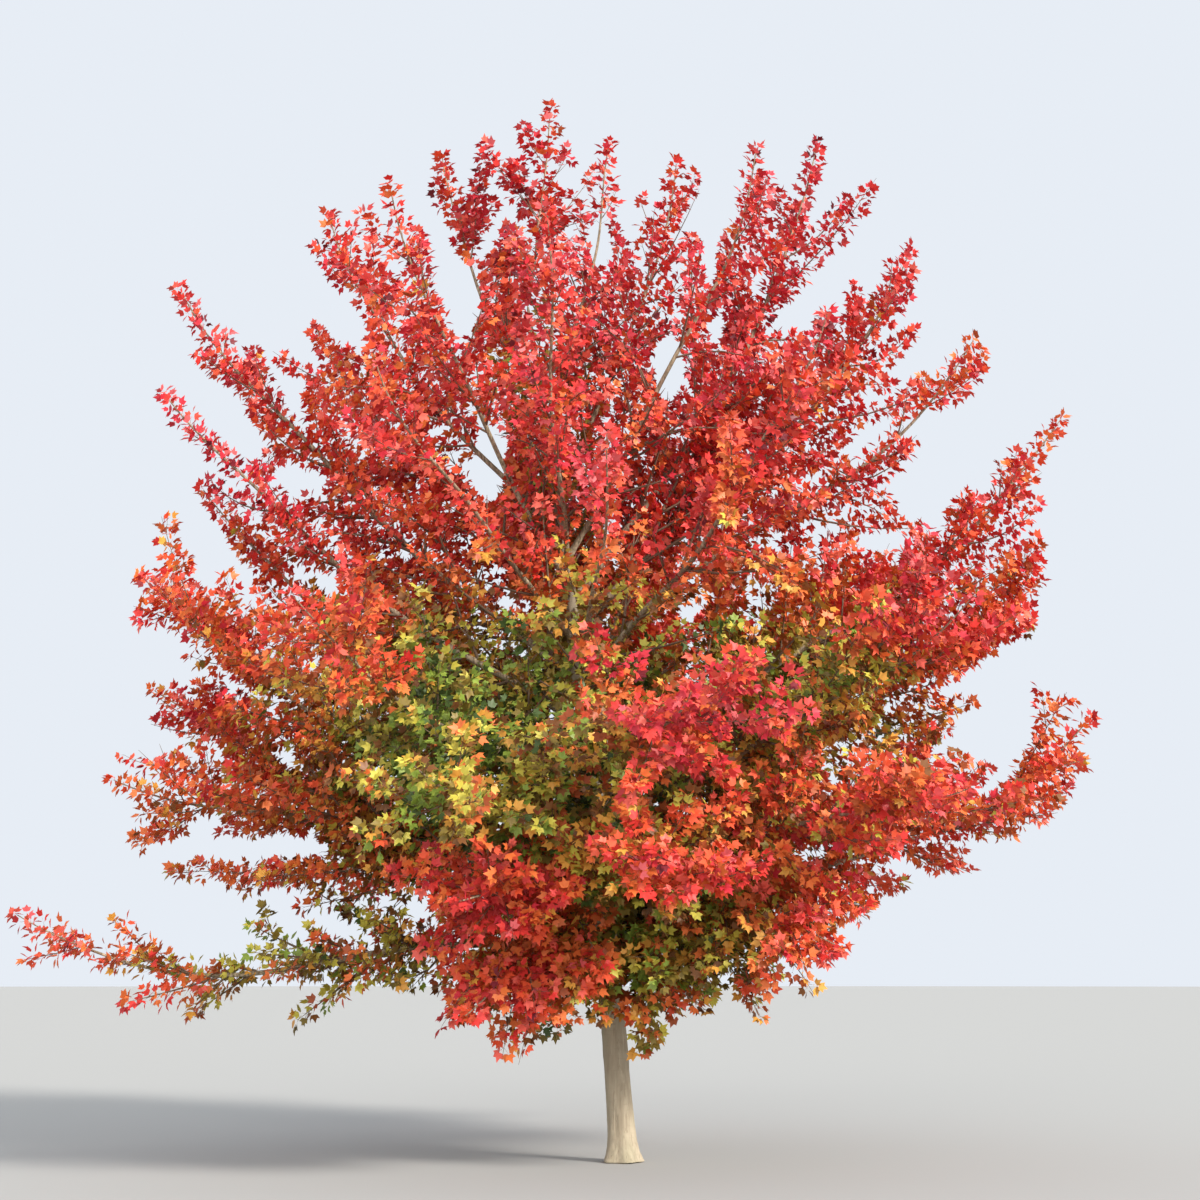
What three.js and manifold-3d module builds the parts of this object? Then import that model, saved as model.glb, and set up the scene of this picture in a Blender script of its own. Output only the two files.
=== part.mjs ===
// A young maple in autumn leaf that stands in the open: one trunk that leans a little, boughs that
// leave it all round and turn up at their ends, and masses of foliage round the ends of the boughs.
// Sizes are in millimetres. +Z is up, and the origin is the middle of the flat cut at ground level.
import * as THREE from "three";
import { mergeVertices } from "three/addons/utils/BufferGeometryUtils.js";
import Module from "manifold-3d";

const wasm = await Module();
wasm.setup();

const CLEAR = 0.3; // between a piece and the piece that carries it
const TREE_SEED = 11;
const UP = new THREE.Vector3(0, 0, 1);

// Trunk: its lean, its taper, and the flare of the roots at the ground
const TRUNK_HEIGHT = 7900;
const TRUNK_RADIUS = 124; // at the ground, without the flare
const TAPER_HEIGHT = 8600; // where the taper would come to a point
const TAPER_POWER = 0.85;
const LEAN = 0.062;
const LEAN_GROWTH = 6.5e-6;
const SWAY = 90;
const SWAY_LENGTH = 1700;
const FLARE_RADIUS = 60;
const FLARE_HEIGHT = 110;
const ROOT_RIDGES = 5;
const RIDGE_SHARE = 0.1;
const TRUNK_SIDES = 15;
const TRUNK_RINGS = [0, 45, 100, 180, 300, 550, 950, 1450, 2000, 2700, 3500, 4300, 5200, 6100, 7000, 7900];

// Limbs: a bough and the stem of the foliage that it carries are one line from the trunk to a tip.
const FOOT_PULL = 0.36; // how far the line keeps its first direction, as a share of its length
const TIP_PULL = 0.3;
const LIMB_STEPS = 20;
const LIMB_WOBBLE = 0.014;
const LIMB_TAPER = 0.8;
const FOOT_RADIUS_SHARE = 0.0072;
const TIP_RADIUS = 13;
const BOUGH_SHARE = 0.3; // of a limb, before it enters its foliage
const BOUGH_SIDES = 6;
const BOUGH_RINGS = 3;
const STEM_SIDES = 5;
const STEM_STEP = 1600;
const STEM_LEAF = 0.75; // the size of the leaf at its end
const FIRST_PLUME = 0.2;
const BARE_FOOT = 3050; // a limb that leaves the trunk above this is in leaf all the way
const INNER_REACH = 2100; // and so is one that is shorter than this

// name, height of the foot on the trunk, tip of the limb, rise in degrees at the foot and at the tip
const LIMBS = [
  ["leader", TRUNK_HEIGHT, [-690, 0, 9960], 80, 85],
  ["top_left", 6900, [-1790, 500, 9680], 55, 80],
  ["top_front", 6500, [-120, -800, 9210], 62, 78],
  ["top_right", 6100, [570, 600, 9660], 60, 82],
  ["crown_left", 5600, [-2860, 200, 8930], 48, 76],
  ["crown_right", 5400, [1220, -1200, 8980], 55, 80],
  ["crown_front_left", 5200, [-2070, -1500, 8500], 50, 74],
  ["crown_far_right", 5000, [1960, 300, 9740], 52, 80],
  ["crown_front", 5300, [-650, -2200, 7950], 48, 70],
  ["back_left_high", 4900, [-3150, 1400, 8200], 48, 66],
  ["right_high", 4700, [2920, 700, 8780], 50, 72],
  ["back_right_high", 4500, [1350, 2200, 8750], 50, 72],
  ["right_high_front", 4400, [3180, -900, 7250], 42, 60],
  ["back_high", 4300, [-1250, 2950, 8050], 46, 66],
  ["left_high", 4250, [-4250, 0, 8090], 40, 60],
  ["front_left_high", 4600, [-2000, -2900, 6450], 36, 58],
  ["front_right_high", 4100, [1600, -2950, 6750], 38, 60],
  ["left_shoulder", 3850, [-4230, -500, 6880], 30, 52],
  ["front_high", 3900, [-150, -3350, 5650], 28, 50],
  ["back_mid", 3650, [250, 4000, 5800], 28, 45],
  ["front_mid", 3500, [450, -3750, 3600], 6, 22],
  ["back_left_mid", 3400, [-2750, 3150, 5700], 28, 45],
  ["right_shoulder", 3300, [4170, 0, 6780], 32, 56],
  ["front_left_mid", 3200, [-2550, -3050, 4450], 14, 36],
  ["back_right_mid", 3150, [2850, 2750, 5900], 33, 46],
  ["front_left_lower", 3060, [-1600, -3300, 3150], 0, 16],
  ["left_mid", 3080, [-4070, 600, 6250], 28, 52],
  ["front_right_mid", 3000, [2700, -2800, 4500], 16, 38],
  ["right_mid", 2850, [4030, 600, 5340], 26, 42],
  ["left_mid_front", 2750, [-4280, -800, 5080], 20, 42],
  ["right_front_low", 2600, [2600, -2800, 3000], 12, 14],
  ["back_left_low", 2550, [-2950, 2750, 3400], 12, 24],
  ["left_low", 2450, [-4500, 800, 4300], 12, 34],
  ["back_right_low", 2400, [3100, 2550, 3700], 10, 28],
  ["right_low", 2350, [4160, -500, 3850], -6, 49],
  ["front_low", 2300, [300, -3450, 2500], 12, 6],
  ["back_low", 2250, [-200, 3800, 3000], 10, 22],
  ["left_lower", 2150, [-4500, -500, 3300], 32, 20],
  ["front_left_mid_low", 2200, [-1250, -2950, 2150], 14, -4],
  ["front_right_low", 2050, [1720, -1950, 1820], 14, -20],
  ["front_left_low", 1930, [-1250, -2150, 1300], 12, -24],
  ["left_long", 1880, [-5050, -1300, 2100], 2, 34],
];

// Short limbs that fill the crown's skirt, with their masses straight on the trunk
const SKIRT_LIMBS = [
  ["skirt_front", 1780, [600, -1250, 1380], 12, -16],
  ["skirt_back", 1820, [-700, 1350, 1600], 12, -8],
];

// The crown's reach to the left and to the right of the origin at a few heights
const CROWN = [
  { z: 950, left: 1900, right: 1500 },
  { z: 1700, left: 2900, right: 2300 },
  { z: 2600, left: 4300, right: 3500 },
  { z: 3400, left: 4500, right: 4200 },
  { z: 4400, left: 4400, right: 4100 },
  { z: 5300, left: 4350, right: 3950 },
  { z: 6200, left: 4000, right: 3900 },
  { z: 7200, left: 4050, right: 3400 },
  { z: 8200, left: 3500, right: 3000 },
  { z: 8800, left: 2750, right: 2550 },
  { z: 9400, left: 1750, right: 1950 },
  { z: 9950, left: 900, right: 900 },
];
const CROWN_DEPTH = 0.94; // of the crown to the front and back, as a share of its width

// Plumes: the shoots that fan out from the stem of each mass, two fifths of a turn from one to the next
const PLUME_SPACING = 620;
const PLUME_TURN = 2;
const PLUME_BASE = 800;
const PLUME_SHARE = 0.26;
const PLUME_FALL = 0.5; // how much shorter the last plume is than the first
const SHORTEST_PLUME = 700;
const FORK_ANGLE = 0.78;
const PLUME_LIFT = 0.5;
const LAYERING = 0.5; // how far a level limb's plumes are pressed into its own layer
const PLUME_RADIUS_SHARE = 0.75; // of the stem that it leaves
const PLUME_TAPER = 0.25;
const PLUME_STEP = 100;
const PLUME_MARGIN = 60; // by which a plume is nearer to its own limb than to the next
const LONG_LIMB_SPREAD = 600; // of the one limb that reaches out of the crown

// Leaves: each stands for a spray. The outline is that of a long leaf with three lobes, of length 1.
const LEAF_LENGTH = 760;
const LEAF_SIZES = [1, 0.8, 0.62]; // tried in turn until the leaf has room
const LEAF_BASE = [0, -0.005];
const LEAF_EDGE = [[-0.3, 0.42], [-0.16, 0.5], [0, 1], [0.16, 0.5], [0.3, 0.42]];
const LEAF_RIDGE = [0, 0.32, 0.07];
const LEAF_ANGLE = 0.62; // from the shoot that it sits on
const LEAF_SPACING = 950;
const LEAF_MARGIN = 24;
const LIMB_MARGIN = 16;
const DEAREST_JOIN = 28; // a leaf whose join takes more faces than this crosses another, and is left out

// Gaps through which the sky shows, as seen by an eye in front of the tree: centre and half size
const EYE = new THREE.Vector3(-200, -17000, 1600);
const GAPS = [
  { x: 450, z: 7300, wide: 140, high: 330 },
  { x: -1240, z: 6350, wide: 150, high: 380 },
  { x: -1480, z: 7980, wide: 130, high: 330 },
  { x: -200, z: 8600, wide: 100, high: 260 },
  { x: 930, z: 8900, wide: 160, high: 800 },
  { x: 2440, z: 5600, wide: 220, high: 90 },
  { x: 2900, z: 6680, wide: 240, high: 120 },
];

function seeded(seed) {
  let state = (TREE_SEED * 7919 + seed * 104729) % 4294967296;
  return () => {
    state = (state * 1664525 + 1013904223) % 4294967296;
    return state / 4294967296;
  };
}

function trunkAxis(z) {
  return new THREE.Vector3(-LEAN * z - LEAN_GROWTH * z * z, SWAY * Math.sin(z / SWAY_LENGTH), z);
}

function trunkRadius(z) {
  return TRUNK_RADIUS * (1 - z / TAPER_HEIGHT) ** TAPER_POWER + FLARE_RADIUS * Math.exp(-z / FLARE_HEIGHT);
}

// The line of a limb: a curve from the trunk to the tip that wobbles a little on its way.
function limbOf([name, footHeight, tip, footRise, tipRise], index) {
  const random = seeded(index + 1);
  const foot = trunkAxis(footHeight);
  const end = new THREE.Vector3(...tip);
  const reach = foot.distanceTo(end);
  const heading = Math.atan2(end.y - foot.y, end.x - foot.x);
  const outward = (degrees) => {
    const rise = THREE.MathUtils.degToRad(degrees);
    const level = Math.cos(rise);
    return new THREE.Vector3(Math.cos(heading) * level, Math.sin(heading) * level, Math.sin(rise));
  };
  const first = foot.clone().addScaledVector(outward(footRise), reach * FOOT_PULL);
  const last = end.clone().addScaledVector(outward(tipRise), -reach * TIP_PULL);
  const curve = new THREE.CubicBezierCurve3(foot, first, last, end);
  const level = new THREE.Vector3(-Math.sin(heading), Math.cos(heading), 0);
  const turns = 2 + random();
  const phase = random() * 2 * Math.PI;
  const at = (t) => {
    const sway = reach * LIMB_WOBBLE * 4 * t * (1 - t);
    return curve
      .getPoint(t)
      .addScaledVector(level, sway * Math.sin(turns * Math.PI * t + phase))
      .addScaledVector(UP, sway * Math.cos(turns * Math.PI * t + phase));
  };
  // The sides of a limb's tube keep one roll all the way, so that they don't twist.
  const roll = (random() < 0.5 ? -1 : 1) * (0.6 + 0.5 * random());
  const frameAt = (t) => {
    const forward = at(t + 0.01).sub(at(t - 0.01)).normalize();
    const side = level.clone().addScaledVector(forward, -level.dot(forward)).normalize();
    const above = new THREE.Vector3().crossVectors(forward, side);
    const across = side.multiplyScalar(Math.cos(roll)).addScaledVector(above, Math.sin(roll));
    return { forward, above, across, over: new THREE.Vector3().crossVectors(forward, across) };
  };
  const line = Array.from({ length: LIMB_STEPS + 1 }, (_, i) => at(i / LIMB_STEPS));
  const footRadius = name === "leader" ? trunkRadius(TRUNK_HEIGHT) : reach * FOOT_RADIUS_SHARE;
  const radius = (t) => TIP_RADIUS + (footRadius - TIP_RADIUS) * (1 - t) ** LIMB_TAPER;
  const split = footHeight < BARE_FOOT && reach > INNER_REACH ? BOUGH_SHARE : 0;
  const inLeaf = Math.max(split, FIRST_PLUME);
  const stemEnd = 1 - (STEM_LEAF * LEAF_LENGTH) / reach;
  const stemSteps = Math.ceil((reach * (1 - split)) / STEM_STEP);
  const stemAt = (t) => {
    const step = ((t - split) / (stemEnd - split)) * stemSteps;
    const ring = Math.floor(step);
    const ringAt = (i) => at(split + ((stemEnd - split) * i) / stemSteps);
    return ringAt(ring).lerp(ringAt(ring + 1), step - ring);
  };
  const layered = tipRise < 50;
  const lift = PLUME_LIFT * Math.min(1, tipRise / 40);
  const stem = { end: stemEnd, steps: stemSteps, at: stemAt };
  return { name, index, at, frameAt, line, radius, reach, split, inLeaf, stem, layered, lift };
}

const limbs = [...LIMBS, ...SKIRT_LIMBS].map(limbOf);

const nearest = new THREE.Vector3();

function distanceToLine(point, line) {
  let least = Infinity;
  for (let i = 1; i < line.length; i++) {
    const segment = new THREE.Line3(line[i - 1], line[i]);
    segment.closestPointToPoint(point, true, nearest);
    least = Math.min(least, nearest.distanceTo(point));
  }
  return least;
}

const lineBoxes = limbs.map((limb) => new THREE.Box3().setFromPoints(limb.line));

// A point is in the space of the limb that it is nearest to.
function inSpaceOf(limb, point, margin) {
  const own = distanceToLine(point, limb.line);
  return limbs.every(
    (other, i) =>
      other === limb ||
      lineBoxes[i].distanceToPoint(point) > own + margin ||
      distanceToLine(point, other.line) > own + margin,
  );
}

// A point touches the wood if it lies in the trunk, in another limb, or in the bough of its own limb.
function touchesWood(limb, point, margin) {
  const z = Math.min(Math.max(point.z, 0), TRUNK_HEIGHT);
  if (point.distanceTo(trunkAxis(z)) < trunkRadius(z) + margin) return true;
  return limbs.some((other) => {
    const bare = other === limb ? Math.floor(LIMB_STEPS * limb.split) + 1 : LIMB_STEPS;
    for (let i = 0; i < bare; i++) {
      const room = other.radius(i / LIMB_STEPS) + margin;
      const segment = [other.line[i], other.line[i + 1]];
      const apart = segment[0].distanceTo(point) - segment[0].distanceTo(segment[1]);
      if (apart < room && distanceToLine(point, segment) < room) return true;
    }
    return false;
  });
}

function inGap(point) {
  const nearer = -EYE.y / (point.y - EYE.y);
  const x = EYE.x + (point.x - EYE.x) * nearer;
  const z = EYE.z + (point.z - EYE.z) * nearer;
  return GAPS.some((gap) => ((x - gap.x) / gap.wide) ** 2 + ((z - gap.z) / gap.high) ** 2 < 1);
}

function inCrown(point) {
  const above = CROWN.findIndex(({ z }) => z > point.z);
  if (above < 1) return false;
  const [lower, upper] = [CROWN[above - 1], CROWN[above]];
  const share = (point.z - lower.z) / (upper.z - lower.z);
  const left = THREE.MathUtils.lerp(lower.left, upper.left, share);
  const right = THREE.MathUtils.lerp(lower.right, upper.right, share);
  const wide = point.x < 0 ? left : right;
  const deep = ((left + right) / 2) * CROWN_DEPTH;
  return (point.x / wide) ** 2 + (point.y / deep) ** 2 < 1;
}

function isFree(limb, point, margin) {
  const alongLongLimb = limb.name === "left_long" && distanceToLine(point, limb.line) < LONG_LIMB_SPREAD;
  if (!inCrown(point) && !alongLongLimb) return false;
  return !inGap(point) && !touchesWood(limb, point, LIMB_MARGIN) && inSpaceOf(limb, point, margin);
}

// Which way a leaf faces: up and away from the trunk, with some roll.
function facingAt(point, random) {
  const outward = point.clone().sub(trunkAxis(Math.min(point.z, TRUNK_HEIGHT))).normalize();
  const roll = new THREE.Vector3(random() - 0.5, random() - 0.5, random() - 0.5);
  return outward.addScaledVector(UP, 0.7).addScaledVector(roll, 2.2);
}

// The corners of a leaf that grows from root towards heading, with its upper side to facing.
function leafAt(root, heading, facing, length) {
  const along = heading.clone().normalize();
  const across = new THREE.Vector3().crossVectors(facing, along).normalize();
  const above = new THREE.Vector3().crossVectors(along, across);
  const place = ([x, y, z = 0]) =>
    root
      .clone()
      .addScaledVector(across, x * length)
      .addScaledVector(along, y * length)
      .addScaledVector(above, z * length);
  return { base: place(LEAF_BASE), edge: LEAF_EDGE.map(place), ridge: place(LEAF_RIDGE), across, above };
}

function leafFits(limb, leaf) {
  const corners = [...leaf.edge, leaf.ridge];
  const middles = leaf.edge.map((corner) => corner.clone().lerp(leaf.ridge, 0.5));
  return [...corners, ...middles].every((point) => isFree(limb, point, LEAF_MARGIN));
}

// The plumes of a limb turn round its stem from side to side of the stem's flats, and bend upwards.
// One that would leave the limb's space, touch the wood, cross a gap or hang too low ends there.
function plumesOf(limb) {
  const random = seeded(100 + limb.index);
  const count = Math.round((limb.reach * (1 - limb.inLeaf)) / PLUME_SPACING);
  const firstFlat = Math.floor(random() * STEM_SIDES);
  const plumes = [];
  for (let k = 0; k < count; k++) {
    const [place, fork, size] = [random(), random(), random()];
    const along = (k + 0.2 + 0.6 * place) / count;
    const t = limb.inLeaf + (limb.stem.end - limb.inLeaf) * along;
    const turn = (2 * Math.PI * (firstFlat + PLUME_TURN * k + 0.25)) / STEM_SIDES;
    const angle = FORK_ANGLE * (0.75 + 0.4 * fork);
    const wanted = (PLUME_BASE + limb.reach * PLUME_SHARE) * (1 - PLUME_FALL * along) * (0.8 + 0.4 * size);
    const { forward, above, across, over } = limb.frameAt(t);
    const outward = across.multiplyScalar(Math.cos(turn)).addScaledVector(over, Math.sin(turn));
    if (limb.layered) outward.addScaledVector(above, -outward.dot(above) * LAYERING).normalize();
    const first = forward.multiplyScalar(Math.cos(angle)).addScaledVector(outward, Math.sin(angle));
    const bend = first.clone().addScaledVector(UP, limb.lift).normalize().sub(first).multiplyScalar(0.5);
    const root = limb.stem.at(t);
    const at = (s) => root.clone().addScaledVector(first, s).addScaledVector(bend, (s * s) / wanted);
    const hasRoom = (s) => isFree(limb, at(s), PLUME_MARGIN * Math.min(1, s / SHORTEST_PLUME));
    let length = PLUME_STEP;
    while (length < wanted && hasRoom(length)) length += PLUME_STEP;
    const facing = facingAt(at(length), random);
    const radius = limb.radius(t) * PLUME_RADIUS_SHARE;
    if (length >= SHORTEST_PLUME) plumes.push({ at, root, length, facing, radius });
  }
  return plumes;
}

function bodyOf(positions, faces) {
  const geometry = new THREE.BufferGeometry();
  const numbers = positions.flatMap((position) => position.toArray());
  geometry.setAttribute("position", new THREE.Float32BufferAttribute(numbers, 3));
  geometry.setIndex(faces.flat());
  const merged = mergeVertices(geometry, 1e-3);
  return new wasm.Manifold(
    new wasm.Mesh({
      numProp: 3,
      vertProperties: merged.attributes.position.array,
      triVerts: new Uint32Array(merged.index.array),
    }),
  );
}

// The sides and the near end of a closed tube. Each ring has a middle, a frame, and reach(angle).
function tubeSides(rings, sides) {
  const positions = rings.flatMap(({ middle, across, over, reach }) =>
    Array.from({ length: sides }, (_, j) => {
      const angle = (2 * Math.PI * (j - 0.25)) / sides;
      return middle
        .clone()
        .addScaledVector(across, reach(angle) * Math.cos(angle))
        .addScaledVector(over, reach(angle) * Math.sin(angle));
    }),
  );
  const faces = [];
  for (let i = 0; i < rings.length - 1; i++) {
    for (let j = 0; j < sides; j++) {
      const [a, b] = [i * sides + j, i * sides + ((j + 1) % sides)];
      faces.push([a, b, b + sides], [a, b + sides, a + sides]);
    }
  }
  for (let j = 1; j < sides - 1; j++) faces.push([0, j + 1, j]);
  return { positions, faces };
}

function tubeBody(rings, sides) {
  const { positions, faces } = tubeSides(rings, sides);
  const end = (rings.length - 1) * sides;
  for (let j = 1; j < sides - 1; j++) faces.push([end, end + j, end + j + 1]);
  return bodyOf(positions, faces);
}

// A tube that widens at its far end into a leaf: the last ring's upper half runs on into the leaf's
// upper faces, and its lower half into the flat underside.
function shootBody(rings, sides, leaf) {
  const { positions, faces } = tubeSides(rings, sides);
  const end = (rings.length - 1) * sides;
  const left = (sides + 1) / 2;
  const edge = leaf.edge.map((_, i) => positions.length + i);
  const ridge = positions.length + edge.length;
  const upper = Array.from({ length: left + 1 }, (_, j) => end + j);
  const lower = Array.from({ length: sides - left + 1 }, (_, j) => end + ((left + j) % sides));
  const rim = [...upper, ...edge];
  rim.forEach((corner, i) => faces.push([corner, rim[(i + 1) % rim.length], ridge]));
  const tip = edge[2];
  for (let j = 1; j < lower.length; j++) faces.push([lower[j - 1], lower[j], tip]);
  faces.push([edge[0], lower[0], edge[1]], [edge[1], lower[0], tip]);
  faces.push([edge[3], lower.at(-1), edge[4]], [tip, lower.at(-1), edge[3]]);
  return bodyOf([...positions, ...leaf.edge, leaf.ridge], faces);
}

function leafBody(leaf) {
  const faces = [];
  const rim = [0, 1, 2, 3, 4, 5];
  rim.forEach((i) => faces.push([i, (i + 1) % rim.length, rim.length]));
  faces.push([0, 5, 1], [1, 4, 2], [1, 5, 4], [2, 4, 3]);
  return bodyOf([leaf.base, ...leaf.edge, leaf.ridge], faces);
}

function trunkBody(extra) {
  const rings = TRUNK_RINGS.map((z) => ({
    middle: trunkAxis(z),
    across: new THREE.Vector3(1, 0, 0),
    over: new THREE.Vector3(0, 1, 0),
    reach: (angle) => {
      const ridges = RIDGE_SHARE * Math.exp(-z / FLARE_HEIGHT / 2) * Math.cos(ROOT_RIDGES * angle);
      return trunkRadius(z) * (1 + ridges) + extra;
    },
  }));
  return tubeBody(rings, TRUNK_SIDES);
}

// The trunk and a little air round it: what is cut from the pieces that stand on it
const trunkRoom = trunkBody(CLEAR / Math.cos(Math.PI / TRUNK_SIDES) + 0.1);

function limbRings(limb, from, to, count) {
  return Array.from({ length: count + 1 }, (_, i) => {
    const t = from + ((to - from) * i) / count;
    return { middle: limb.at(t), ...limb.frameAt(t), reach: () => limb.radius(t) };
  });
}

function boughBody(limb) {
  const rings = limbRings(limb, 0, limb.split, BOUGH_RINGS);
  const end = rings.at(-1);
  end.middle.addScaledVector(end.forward, -CLEAR);
  return tubeBody(rings, BOUGH_SIDES).subtract(trunkRoom);
}

function stemBody(limb) {
  const rings = limbRings(limb, limb.split, limb.stem.end, limb.stem.steps);
  const last = rings.at(-1);
  return shootBody(rings, STEM_SIDES, leafAt(last.middle, last.forward, last.over, STEM_LEAF * LEAF_LENGTH));
}

// A leaf of the largest size that has room, or null
function leafWithRoom(limb, root, heading, facing, length) {
  for (const size of LEAF_SIZES) {
    const leaf = leafAt(root, heading, facing, length * size);
    if (leafFits(limb, leaf)) return leaf;
  }
  return null;
}

// A plume ends in a leaf. If the leaf has no room there the plume is cut shorter.
function grow(limb, plume) {
  for (; plume.length >= SHORTEST_PLUME; plume.length -= PLUME_STEP) {
    plume.end = plume.at(plume.length - LEAF_LENGTH * LEAF_SIZES.at(-1));
    const heading = plume.at(plume.length).sub(plume.end);
    const leaf = leafWithRoom(limb, plume.end, heading, plume.facing, LEAF_LENGTH);
    if (leaf) return plumeBody(plume, leaf);
  }
  return null;
}

function plumeBody(plume, leaf) {
  const forward = plume.end.clone().sub(plume.root).normalize();
  const across = new THREE.Vector3().crossVectors(leaf.above, forward).normalize();
  const over = new THREE.Vector3().crossVectors(forward, across);
  const rings = [
    { middle: plume.root, across, over, reach: () => plume.radius },
    { middle: plume.end, across, over, reach: () => plume.radius * (1 - PLUME_TAPER) },
  ];
  return shootBody(rings, 3, leaf);
}

// Leaves leave a plume to both sides by turns, each through the middle of one of its flats.
function sideLeaves(limb, plume, random) {
  const leaves = [];
  const twig = plume.end.clone().sub(plume.root);
  const forward = twig.clone().normalize();
  const across = new THREE.Vector3().crossVectors(plume.facing, forward).normalize();
  const above = new THREE.Vector3().crossVectors(forward, across);
  const count = 2 * Math.max(1, Math.round(twig.length() / LEAF_SPACING));
  for (let k = 0; k < count; k++) {
    const root = plume.root.clone().addScaledVector(twig, (k + 0.9) / (count + 0.3));
    const flat = above.clone().multiplyScalar(0.5).addScaledVector(across, k % 2 ? -0.87 : 0.87);
    const heading = forward.clone().addScaledVector(flat, Math.tan(LEAF_ANGLE));
    const roll = new THREE.Vector3(random() - 0.5, random() - 0.5, random() - 0.5);
    const facing = above.clone().addScaledVector(roll, 0.8);
    const leaf = leafWithRoom(limb, root, heading, facing, LEAF_LENGTH * (0.8 + 0.2 * random()));
    if (leaf) leaves.push(leaf);
  }
  return leaves;
}

function massBody(limb) {
  const random = seeded(200 + limb.index);
  let mass = stemBody(limb);
  const join = (body, dearest) => {
    const joined = mass.add(body);
    if (joined.numTri() - mass.numTri() > dearest) return false;
    mass = joined;
    return true;
  };
  const plumes = plumesOf(limb).filter((plume) => {
    const body = grow(limb, plume);
    return body && join(body, 2 * DEAREST_JOIN);
  });
  for (const plume of plumes) {
    for (const leaf of sideLeaves(limb, plume, random)) join(leafBody(leaf), DEAREST_JOIN);
  }
  const pieces = mass.subtract(trunkRoom).simplify(0.05).decompose();
  return pieces.sort((a, b) => b.volume() - a.volume())[0];
}

function meshOf(name, body, material) {
  const { numProp, numVert, vertProperties, triVerts } = body.getMesh();
  const positions = new Float32Array(numVert * 3);
  for (let i = 0; i < numVert; i++) {
    positions.set(vertProperties.subarray(i * numProp, i * numProp + 3), i * 3);
  }
  const geometry = new THREE.BufferGeometry();
  geometry.setAttribute("position", new THREE.BufferAttribute(positions, 3));
  geometry.setIndex(new THREE.BufferAttribute(triVerts, 1));
  const mesh = new THREE.Mesh(geometry, material);
  mesh.name = name;
  return mesh;
}

const bark = new THREE.MeshStandardMaterial({ color: 0xb0a183, roughness: 0.9, metalness: 0 });
const scarlet = new THREE.MeshStandardMaterial({ color: 0xc83a32, roughness: 0.6, metalness: 0 });
const amber = new THREE.MeshStandardMaterial({ color: 0xc9662f, roughness: 0.6, metalness: 0 });
const green = new THREE.MeshStandardMaterial({ color: 0x8f8a3a, roughness: 0.6, metalness: 0 });

// The leaves turn from the top down: the high limbs are red, the level ones amber, the skirt green.
function leafMaterial(limb) {
  if (!limb.layered) return scarlet;
  return limb.reach < INNER_REACH ? green : amber;
}

const tree = new THREE.Group();
tree.add(meshOf("trunk", trunkBody(0), bark));
for (const limb of limbs) {
  if (limb.split > 0) tree.add(meshOf(`bough_${limb.name}`, boughBody(limb), bark));
  tree.add(meshOf(`foliage_${limb.name}`, massBody(limb), leafMaterial(limb)));
}

export default tree;
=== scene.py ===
# A young maple in autumn leaf that stands in the open. The trunk, the limbs, the shoots, the twigs and
# the leaves are made in the order in which they grow on from each other. Sizes are in metres.
import math
from types import SimpleNamespace

import bpy
import numpy as np
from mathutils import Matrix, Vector


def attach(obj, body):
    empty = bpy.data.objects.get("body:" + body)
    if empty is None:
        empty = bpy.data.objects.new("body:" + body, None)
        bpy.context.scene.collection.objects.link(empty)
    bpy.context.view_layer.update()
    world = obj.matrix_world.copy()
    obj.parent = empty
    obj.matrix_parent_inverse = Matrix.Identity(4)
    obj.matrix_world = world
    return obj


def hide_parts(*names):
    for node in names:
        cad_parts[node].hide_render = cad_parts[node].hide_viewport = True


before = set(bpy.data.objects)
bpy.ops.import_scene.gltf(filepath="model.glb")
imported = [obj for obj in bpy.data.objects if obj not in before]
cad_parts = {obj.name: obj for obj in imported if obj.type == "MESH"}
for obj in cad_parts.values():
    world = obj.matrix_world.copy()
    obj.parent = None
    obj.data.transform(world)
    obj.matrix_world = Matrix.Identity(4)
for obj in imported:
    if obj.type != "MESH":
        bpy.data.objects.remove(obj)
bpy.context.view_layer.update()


# Trunk
# One leader of smooth grey bark that leans a little and flares at the ground. It is a disc extruded
# ring by ring up the trunk's line, smoothed, and then given ridges, collars and the bark's relief.
TRUNK_HEIGHT = 7.9
TRUNK_RADIUS = 0.124
TAPER_HEIGHT = 8.6
TAPER_POWER = 0.85
LEAN = 0.062
LEAN_GROWTH = 6.5e-3
SWAY = 0.09
SWAY_LENGTH = 1.7
FLARE_RADIUS = 0.06
FLARE_HEIGHT = 0.11
ROOT_RIDGES = 5
RIDGE_HEIGHT = 2 * FLARE_HEIGHT
RIDGE_SHARE = 0.1
CUT_HEIGHT = 0.004  # corners that lie lower than this belong to the flat cut at the ground
TRUNK_SIDES = 24
TRUNK_STEPS = 64
STEP_GROWTH = 1.5  # the rings stand closer at the foot


def trunk_axis(z):
    z = np.asarray(z, float)
    return np.stack([-LEAN * z - LEAN_GROWTH * z * z, SWAY * np.sin(z / SWAY_LENGTH), z], axis=-1)


def trunk_radius(z):
    z = np.asarray(z, float)
    taper = (1 - np.clip(z, 0, TRUNK_HEIGHT) / TAPER_HEIGHT) ** TAPER_POWER
    return TRUNK_RADIUS * taper + FLARE_RADIUS * np.exp(-z / FLARE_HEIGHT)


def points_of(piece):
    points = np.zeros(len(piece.data.vertices) * 3, np.float32)
    piece.data.vertices.foreach_get("co", points)
    return points.reshape(-1, 3).astype(float)


def move_points(piece, points):
    piece.data.vertices.foreach_set("co", points.astype(np.float32).ravel())
    piece.data.update()


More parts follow.
